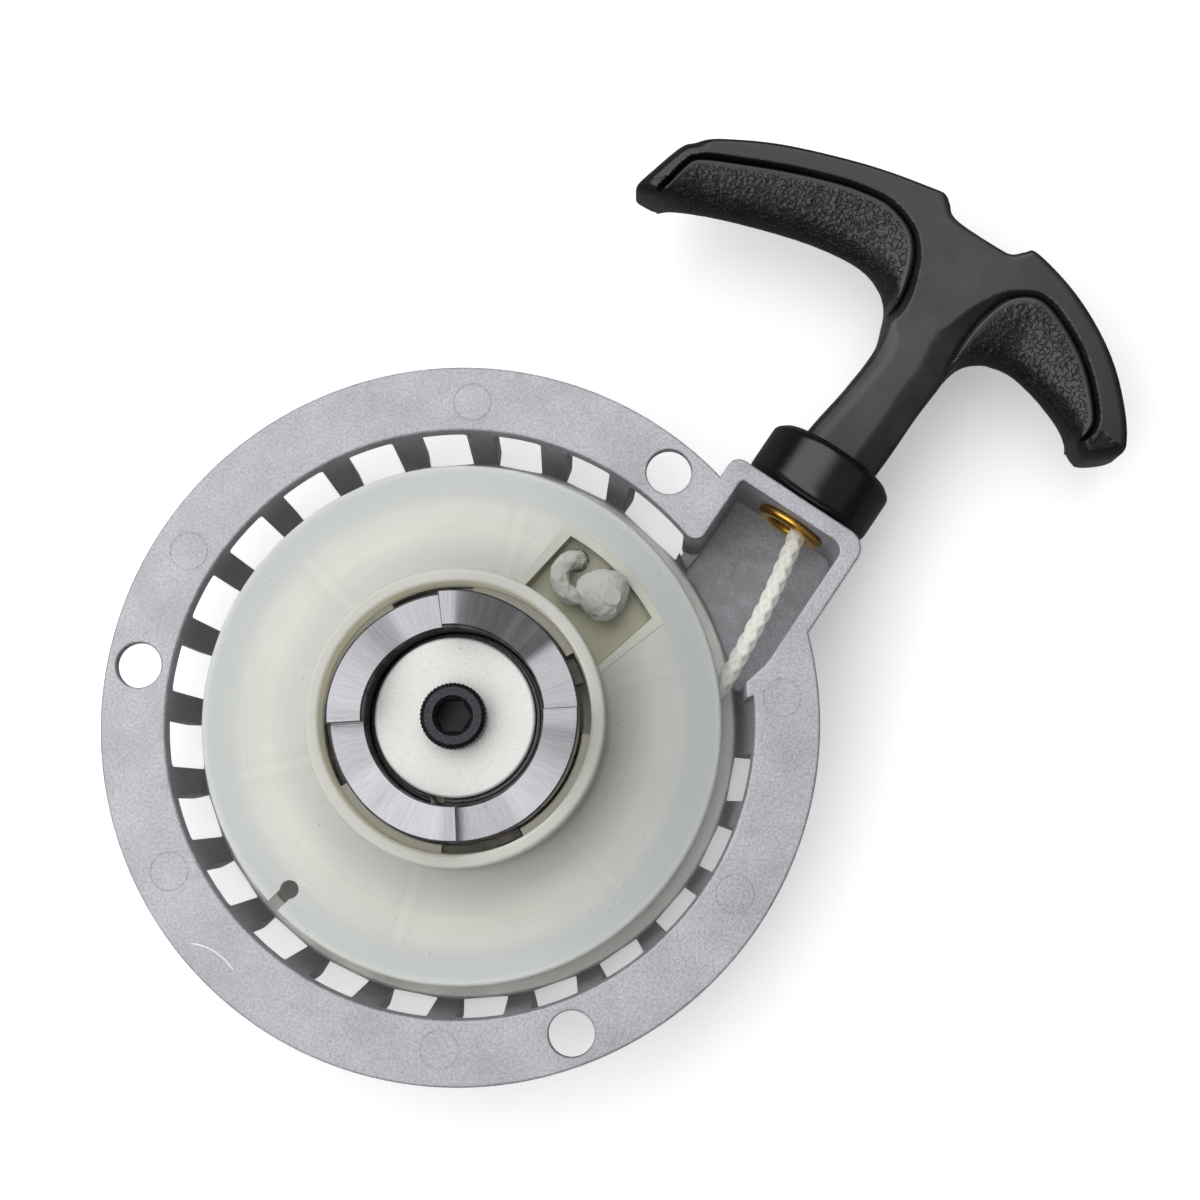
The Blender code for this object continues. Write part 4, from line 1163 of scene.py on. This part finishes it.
def build_knot():
    """The overhand knot in the reel's pocket, with the loop that comes up to it from the drum."""
    centre = Vector((*on_circle(38.8 * MM, 42.0), -3.0 * MM))
    pieces = [
        tube("loop", knot_loop(centre + Vector((-2.0, 0.6, -1.2)) * MM), ROPE_R, 24, None, braid),
        tube("wound", trefoil(centre, 1.18 * MM, 1.5 * MM), 2.05 * MM, 24, None, braid),
    ]
    bm = bmesh.new()
    place = Matrix.Translation(centre) @ Matrix.Diagonal((1.0, 1.0, 0.85, 1.0))
    bmesh.ops.create_uvsphere(bm, u_segments=32, v_segments=20, radius=5.1 * MM, matrix=place)
    pieces.append(finish_mesh("core", bm))
    cut_end = [centre + Vector((1.4, -0.6, 0.5)) * MM, centre + Vector((2.0, -1.0, 4.2)) * MM]
    pieces.append(tube("cut_end", resample(cut_end, 0.3 * MM), ROPE_R, 24, None, braid))
    knot = wear(voxel_skin(merged("rope_knot", pieces), 0.22 * MM), MATERIALS["knot"])
    for vertex in knot.data.vertices:
        vertex.co += vertex.normal * 0.16 * MM * noise.noise(vertex.co / (0.7 * MM))
    knot.data.shade_smooth()
    stand(knot, "reel", ["rope_knot_reel"])


def build_rope_lead():
    """The rope from the eyelet to the knot in the handle, which pays out as the handle moves."""
    first, last = DUCT_END - 1.5 * MM, KNOT_SEAT + 1.7 * MM
    count = 160
    points = []
    for i in range(count + 1):
        along = first + (last - first) * i / count
        points.append((*on_pull(0.6 * MM * (1 - smooth((along - first) / (8 * MM))), along), ROPE_Z + FACE_Z))
    lead = shade(tube("rope_to_handle", points, ROPE_R - 0.1 * MM, 24, MATERIALS["braided_rope"]), 60.0)
    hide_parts("rope_lead")
    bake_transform(lead)


# ---- eyelet and boot ----
def on_pull_axis(obj, height=0.0):
    """Turns a piece made round Z, from the duct's end upwards, so that it lies along the pull."""
    obj.data.transform(Matrix.Translation((0.0, height, 0.0)) @ Matrix.Rotation(math.radians(-90), 4, "X"))
    return obj


def build_eyelet():
    profile = rounded([
        (4.6 * MM, -0.3 * MM, 0.4 * MM),
        (5.7 * MM, -0.3 * MM),
        (5.7 * MM, -3.9 * MM),
        (7.5 * MM, -3.9 * MM, 0.4 * MM),
        (7.5 * MM, -4.8 * MM, 0.4 * MM),
        (6.6 * MM, -5.4 * MM, 0.5 * MM),
        (5.2 * MM, -5.4 * MM, 0.5 * MM),
        (4.6 * MM, -4.7 * MM, 0.4 * MM),
    ], steps=4)
    eyelet = on_pull_axis(shade(turned("brass_eyelet", profile, 72, MATERIALS["brass"])))
    stand(eyelet, "housing", ["rope_eyelet"], in_pull_frame=True)


def build_boot():
    long, radius = 12.6 * MM, 14.0 * MM
    profile = rounded([
        (3.0 * MM, long),
        (11.0 * MM, long, 0.8 * MM),
        (11.4 * MM, long - 0.35 * MM, 0.3 * MM),
        (12.3 * MM, long - 0.2 * MM, 0.6 * MM),
        (radius, long - 1.6 * MM, 1.6 * MM),
        (radius, 0.0, 2.4 * MM),
        (3.0 * MM, 0.0),
    ], steps=7)
    boot = on_pull_axis(turned("rubber_boot", profile, 144, MATERIALS["rubber"]), 0.3 * MM)
    left, right = -8.5 * MM, 9.4 * MM
    bottom = STEM_END - DUCT_END - 0.3 * MM
    half = HANDLE_HALF + 0.25 * MM
    corners = [(left, -half), (right, -half), (right, half), (left, half)]
    outline = rounded([(x, z, 3.0 * MM) for x, z in corners], 6)
    room = slab("room", outline, [(0.0, bottom), (0.0, long - 0.1 * MM), (-0.5 * MM, long + 0.5 * MM)],
                MATERIALS["rubber"])
    room.data.transform(Matrix.Rotation(math.radians(-90), 4, "X") @ Matrix.Diagonal((1.0, -1.0, 1.0, 1.0)))
    room.data.flip_normals()
    boolean(boot, [room])
    shade(boot, 40.0)
    stand(boot, "handle", ["handle_boot"], in_pull_frame=True)


# ---- handle ----
def handle_outline():
    """The handle's outline across and along the pull axis. Each point also holds how its edge falls
    from the face: the width and depth of a round wall, then those of a slope further in."""
    outer, tip = (1.3, 1.3, 0.3, 0.0), (2.4, 4.6, 6.0, 1.2)
    left_side, right_side = (1.0, 3.0, 3.2, 1.7), (0.5, 0.5, 5.0, 2.6)
    grip = (1.3, 3.0, 0.3, 0.0)
    stretches = [
        (left_side, [(-7.9, 80.6), (-7.8, 90.0), (-6.2, 102.0), (-5.8, 113.0)]),
        (grip, [(-8.8, 121.3), (-13.5, 125.0), (-20.0, 126.0), (-31.0, 124.3), (-45.0, 120.0),
                (-59.0, 114.6)]),
        (tip, [(-64.6, 112.8), (-66.4, 113.6), (-65.4, 118.6), (-63.4, 125.6), (-61.4, 128.1)]),
        (outer, [(-57.0, 130.8), (-45.0, 137.2), (-28.0, 143.3), (-14.0, 146.6), (-11.2, 146.8)]),
        (outer, [(-9.4, 145.6), (-7.6, 143.9), (-4.0, 143.3), (4.0, 143.3), (7.0, 143.7), (9.0, 145.6)]),
        (outer, [(11.2, 146.9), (20.6, 144.7), (29.5, 140.8), (37.5, 135.5), (44.4, 128.6), (48.2, 123.0)]),
        (tip, [(48.2, 121.0), (46.6, 119.1), (43.4, 116.7), (41.4, 116.7)]),
        (grip, [(37.0, 119.6), (31.5, 121.9), (25.4, 123.6), (19.4, 124.2)]),
        (right_side, [(14.2, 122.6), (10.6, 118.4), (9.4, 109.0), (9.2, 97.0), (8.9, 90.0), (8.4, 80.6)]),
    ]
    points = [(*point, *edge) for edge, stretch in stretches for point in stretch]
    points.append(points[0])
    return [tuple(v * MM for v in p) for p in points]


def groove_paths():
    """The two grooves round the grips, from edge to edge of the outline."""
    left = [(-61.6, 113.2), (-60.9, 116.5), (-59.9, 122.4), (-58.0, 125.2), (-50.0, 129.2), (-41.7, 132.9),
            (-34.0, 135.8), (-27.2, 137.8), (-20.0, 138.7), (-13.7, 136.9), (-9.9, 133.1), (-7.5, 127.0),
            (-6.8, 121.9), (-7.6, 118.5)]
    right = [(9.6, 114.5), (8.7, 121.8), (9.2, 129.2), (11.5, 135.6), (16.0, 138.9), (20.8, 138.6),
             (28.0, 135.3), (34.1, 130.8), (39.3, 125.1), (40.6, 121.6), (39.4, 117.4)]
    return [resample([(x * MM, y * MM) for x, y in path], 0.5 * MM) for path in (left, right)]


def distances(points, path):
    """Distance of each point to a path of straight segments, and the nearest path point's index."""
    a = np.array([p[:2] for p in path[:-1]])
    b = np.array([p[:2] for p in path[1:]])
    step = b - a
    best = np.full(len(points), 1e9)
    nearest = np.zeros(len(points), dtype=int)
    long = np.maximum((step**2).sum(axis=1), 1e-18)
    for i in range(len(a)):
        share = np.clip(((points - a[i]) @ step[i]) / long[i], 0.0, 1.0)
        gap = np.hypot(*(points - a[i] - share[:, None] * step[i]).T)
        closer = gap < best
        best[closer] = gap[closer]
        nearest[closer] = i + (share[closer] > 0.5)
    return best, nearest


def inside(points, outline):
    """Whether each point lies inside a closed outline."""
    count = np.zeros(len(points), dtype=int)
    for (ax, ay), (bx, by) in zip(outline, outline[1:] + outline[:1]):
        crosses = (points[:, 1] < ay) != (points[:, 1] < by)
        at = ax + (points[:, 1] - ay) * (bx - ax) / (by - ay if abs(by - ay) > 1e-12 else 1e-12)
        count += crosses & (points[:, 0] < at)
    return count % 2 == 1


def outwards(outline, distance):
    """A closed outline moved outwards, whichever way round it runs."""
    return offset(outline, distance if anticlockwise(outline) is outline else -distance)


def grip_outlines(outline, grooves):
    """For each grip, its border, which passes a little outside the handle's edge, and that edge."""
    flat = [tuple(p[:2]) for p in outline[:-1]]
    beyond = outwards(flat, 0.8 * MM)
    borders = []
    for groove in grooves:
        gaps = [[(Vector(place) - end).length for place in flat] for end in (groove[0], groove[-1])]
        ends = [gap.index(min(gap)) for gap in gaps]
        span = list(range(min(ends), max(ends) + 1))
        if ends[0] < ends[1]:
            span.reverse()
        borders.append(([tuple(p) for p in groove] + [beyond[i] for i in span], [flat[i] for i in span]))
    return borders


def wrinkle(x, y):
    """Short worm-like ridges, from 0 to 1."""
    value = noise.noise(Vector((x, y, 0.0)) / (1.25 * MM))
    return 1.0 - smooth(abs(value) / 0.16)


def handle_heights(points, outline, grooves):
    """Half thickness of the handle at each point, and how much each lies on a wrinkled grip."""
    edge_gap, nearest = distances(points, outline)
    edges = np.array([p[2:] for p in outline])[nearest]
    wall = np.clip(1 - edge_gap / np.maximum(edges[:, 0], 0.1 * MM), 0, 1)
    slope = np.clip(1 - edge_gap / np.maximum(edges[:, 2], 0.1 * MM), 0, 1)
    drop = np.maximum(edges[:, 1], 0) * (1 - np.sqrt(1 - wall**2)) + np.maximum(edges[:, 3], 0) * slope
    height = HANDLE_HALF - drop
    grip = np.zeros(len(points))
    for groove, (border, edge) in zip(grooves, grip_outlines(outline, grooves)):
        to_groove, _ = distances(points, groove)
        to_edge, _ = distances(points, edge)
        within = inside(points, border)
        on_right = groove is grooves[1]
        near_stem = np.clip((138 * MM - points[:, 1]) / (18 * MM), 0, 1) * (np.abs(points[:, 0]) < 16 * MM)
        bank_wide = (0.8 + (4.2 if on_right else 1.3) * near_stem) * MM
        bank_drop = 2.6 * MM * np.clip(1 - to_groove / bank_wide, 0, 1)
        share = to_groove / np.maximum(to_groove + to_edge, 1e-9)
        crest = 0.97 * HANDLE_HALF - (2.2 * MM * near_stem if on_right else 0.0)
        crown = crest * np.sqrt(np.maximum(1 - share**2.1, 0.0))
        height = np.where(within, crown, np.minimum(height, HANDLE_HALF - bank_drop))
        to_end = np.minimum(*[np.hypot(*(points - np.array(end)).T) for end in (groove[0], groove[-1])])
        depth = 1.2 * MM * np.clip(to_end / (4 * MM), 0, 1)
        height -= depth * np.exp(-((to_groove / (0.42 * MM)) ** 2))
        grip = np.where(within, np.clip((to_groove - 1.5 * MM) / (0.5 * MM), 0, 1), grip)
    ridges = np.array([wrinkle(x, y) if g > 0 else 0.0 for (x, y), g in zip(points, grip)])
    height = height + 0.16 * MM * ridges * grip
    return np.maximum(height, 0.3 * MM), grip


def handle_points(outline):
    """Points over the handle's face: rows along the edge, then a grid, finer on the grips."""
    loop = outline[:-1]
    flat = [tuple(p[:2]) for p in loop]
    rows = []
    for inset in (0.08, 0.25, 0.5, 0.85, 1.25, 1.7):
        row = np.array(outwards(flat, -inset * MM))
        gap, _ = distances(row, outline)
        rows.append(row[(gap > 0.93 * inset * MM) & inside(row, flat)])
    low, high = np.min(flat, axis=0), np.max(flat, axis=0)
    grid = []
    for spacing, fine in ((0.9 * MM, False), (0.3 * MM, True)):
        xs, ys = np.arange(low[0], high[0], spacing), np.arange(low[1], high[1], spacing)
        cells = np.array([(x + (0.5 * spacing if i % 2 else 0.0), y) for i, y in enumerate(ys) for x in xs])
        cells = cells[inside(cells, flat)]
        gap, _ = distances(cells, outline)
        cells = cells[gap > 1.95 * MM]
        grid.append((cells, fine))
    grooves = groove_paths()
    borders = grip_outlines(outline, grooves)
    kept = []
    for cells, fine in grid:
        near = np.zeros(len(cells), dtype=bool)
        for groove, (border, _) in zip(grooves, borders):
            near |= inside(cells, border) | (distances(cells, groove)[0] < 4.5 * MM)
        kept.append(cells[near] if fine else cells[~near])
    return np.vstack([np.array(flat)] + rows + kept), len(flat), grooves


def build_handle():
    outline = resample(handle_outline(), 0.6 * MM)
    points, rim_count, grooves = handle_points(outline)
    heights, grip = handle_heights(points, outline, grooves)
    rim = list(range(rim_count))
    places, _, triangles, origins, _, _ = delaunay_2d_cdt([Vector(p) for p in points], [], [rim], 1, 1e-7)
    index = [o[0] if o else 0 for o in origins]
    bm = bmesh.new()
    top = [bm.verts.new((p.x, p.y - DUCT_END, heights[i])) for p, i in zip(places, index)]
    under = [bm.verts.new((p.x, p.y - DUCT_END, -heights[i])) for p, i in zip(places, index)]
    for triangle in triangles:
        on_grip = min(grip[index[i]] for i in triangle) > 0.0
        for corners in ([top[i] for i in triangle], [under[i] for i in reversed(triangle)]):
            bm.faces.new(corners).material_index = 1 if on_grip else 0
    open_edges = [e for e in bm.edges if e.is_boundary and e.verts[0].co.z > 0]
    twin = dict(zip(top, under))
    for edge in open_edges:
        a, b = edge.verts
        bm.faces.new((a, b, twin[b], twin[a]))
    bmesh.ops.delete(bm, geom=[v for v in bm.verts if not v.link_faces], context="VERTS")
    handle = finish_mesh("tee_handle", bm, MATERIALS["plastic"])
    handle.data.materials.append(MATERIALS["grip"])
    shade(handle, 50.0, weighted=False)
    stand(handle, "handle", ["handle"], in_pull_frame=True)


# ---- CAD pieces that stay ----
def finish_carried_nodes():
    looks = {
        "axle_sleeve": "spring",
        "thrust_washer": "zinc",
        "mainspring": "spring",
        "spring_anchor_pin": "spring",
        "friction_spring": "spring",
        "knot_washer": "zinc",
        "rope_knot_handle": "rope",
    }
    for node, look in looks.items():
        for slot in frame["nodes"][node].material_slots:
            slot.material = MATERIALS[look]


build_housing()
build_reel()
build_claw()
build_washer()
build_screw()
build_rope_coil()
build_rope_duct()
build_knot()
build_rope_lead()
build_eyelet()
build_boot()
build_handle()
finish_carried_nodes()


# ---- the stage ----
def build_world():
    """Soft light from above, bright overhead and to the left, and dark to the right. The camera itself
    sees it white, like the floor."""
    world = bpy.data.worlds.new("studio")
    bpy.context.scene.world = world
    world.use_nodes = True
    w = Nodes(world.node_tree)
    x, y, z = w.add("ShaderNodeSeparateXYZ", {0: w.add("ShaderNodeTexCoord").outputs["Generated"]}).outputs
    lean = w.math("DIVIDE", w.math("MULTIPLY_ADD", y, -0.5, x), z)
    overhead = w.span(z, 0.30, 0.62)
    light = w.times(overhead, w.span(lean, -0.24, 0.34, 1.0, 0.10))
    strength = w.math("MULTIPLY_ADD", light, BRIGHTEST, FILL_LIGHT)
    background = world.node_tree.nodes["Background"].inputs
    w.put(background["Color"], (1.0, 1.0, 1.0))
    w.put(background["Strength"], w.math("MAXIMUM", strength, w.light_path("Is Camera Ray")))


def build_floor():
    """A pale floor that looks darker in the object's own reflections than it does to the camera."""
    bm = bmesh.new()
    bmesh.ops.create_grid(bm, x_segments=1, y_segments=1, size=3.0)
    s = Shader("floor")
    mirrored = s.light_path("Is Glossy Ray")
    tone = s.mix(mirrored, srgb(241, 241, 241), srgb(96, 96, 96))
    s.set(Base_Color=tone, Roughness=0.9, Specular_IOR_Level=0.0, Emission_Color=(1.0, 1.0, 1.0),
          Emission_Strength=s.span(mirrored, 0.0, 1.0, 0.30, 0.03))
    floor = finish_mesh("floor", bm, s.material)
    floor.location.z = -0.3 * MM


def build_camera():
    data = bpy.data.cameras.new("camera")
    camera = bpy.data.objects.new("camera", data)
    bpy.context.scene.collection.objects.link(camera)
    data.sensor_width = 36.0
    data.lens = LENS_MM
    data.clip_start = 0.01
    back = (Vector(CAMERA_AT) - Vector(LOOKS_AT)).normalized()
    right = Vector((0.0, 1.0, 0.0)).cross(back).normalized()
    up = back.cross(right)
    place = Matrix((right, up, back)).transposed().to_4x4()
    place.translation = CAMERA_AT
    camera.matrix_world = place
    bpy.context.scene.camera = camera


bpy.context.scene.view_settings.view_transform = "Standard"
build_world()
build_floor()
build_camera()
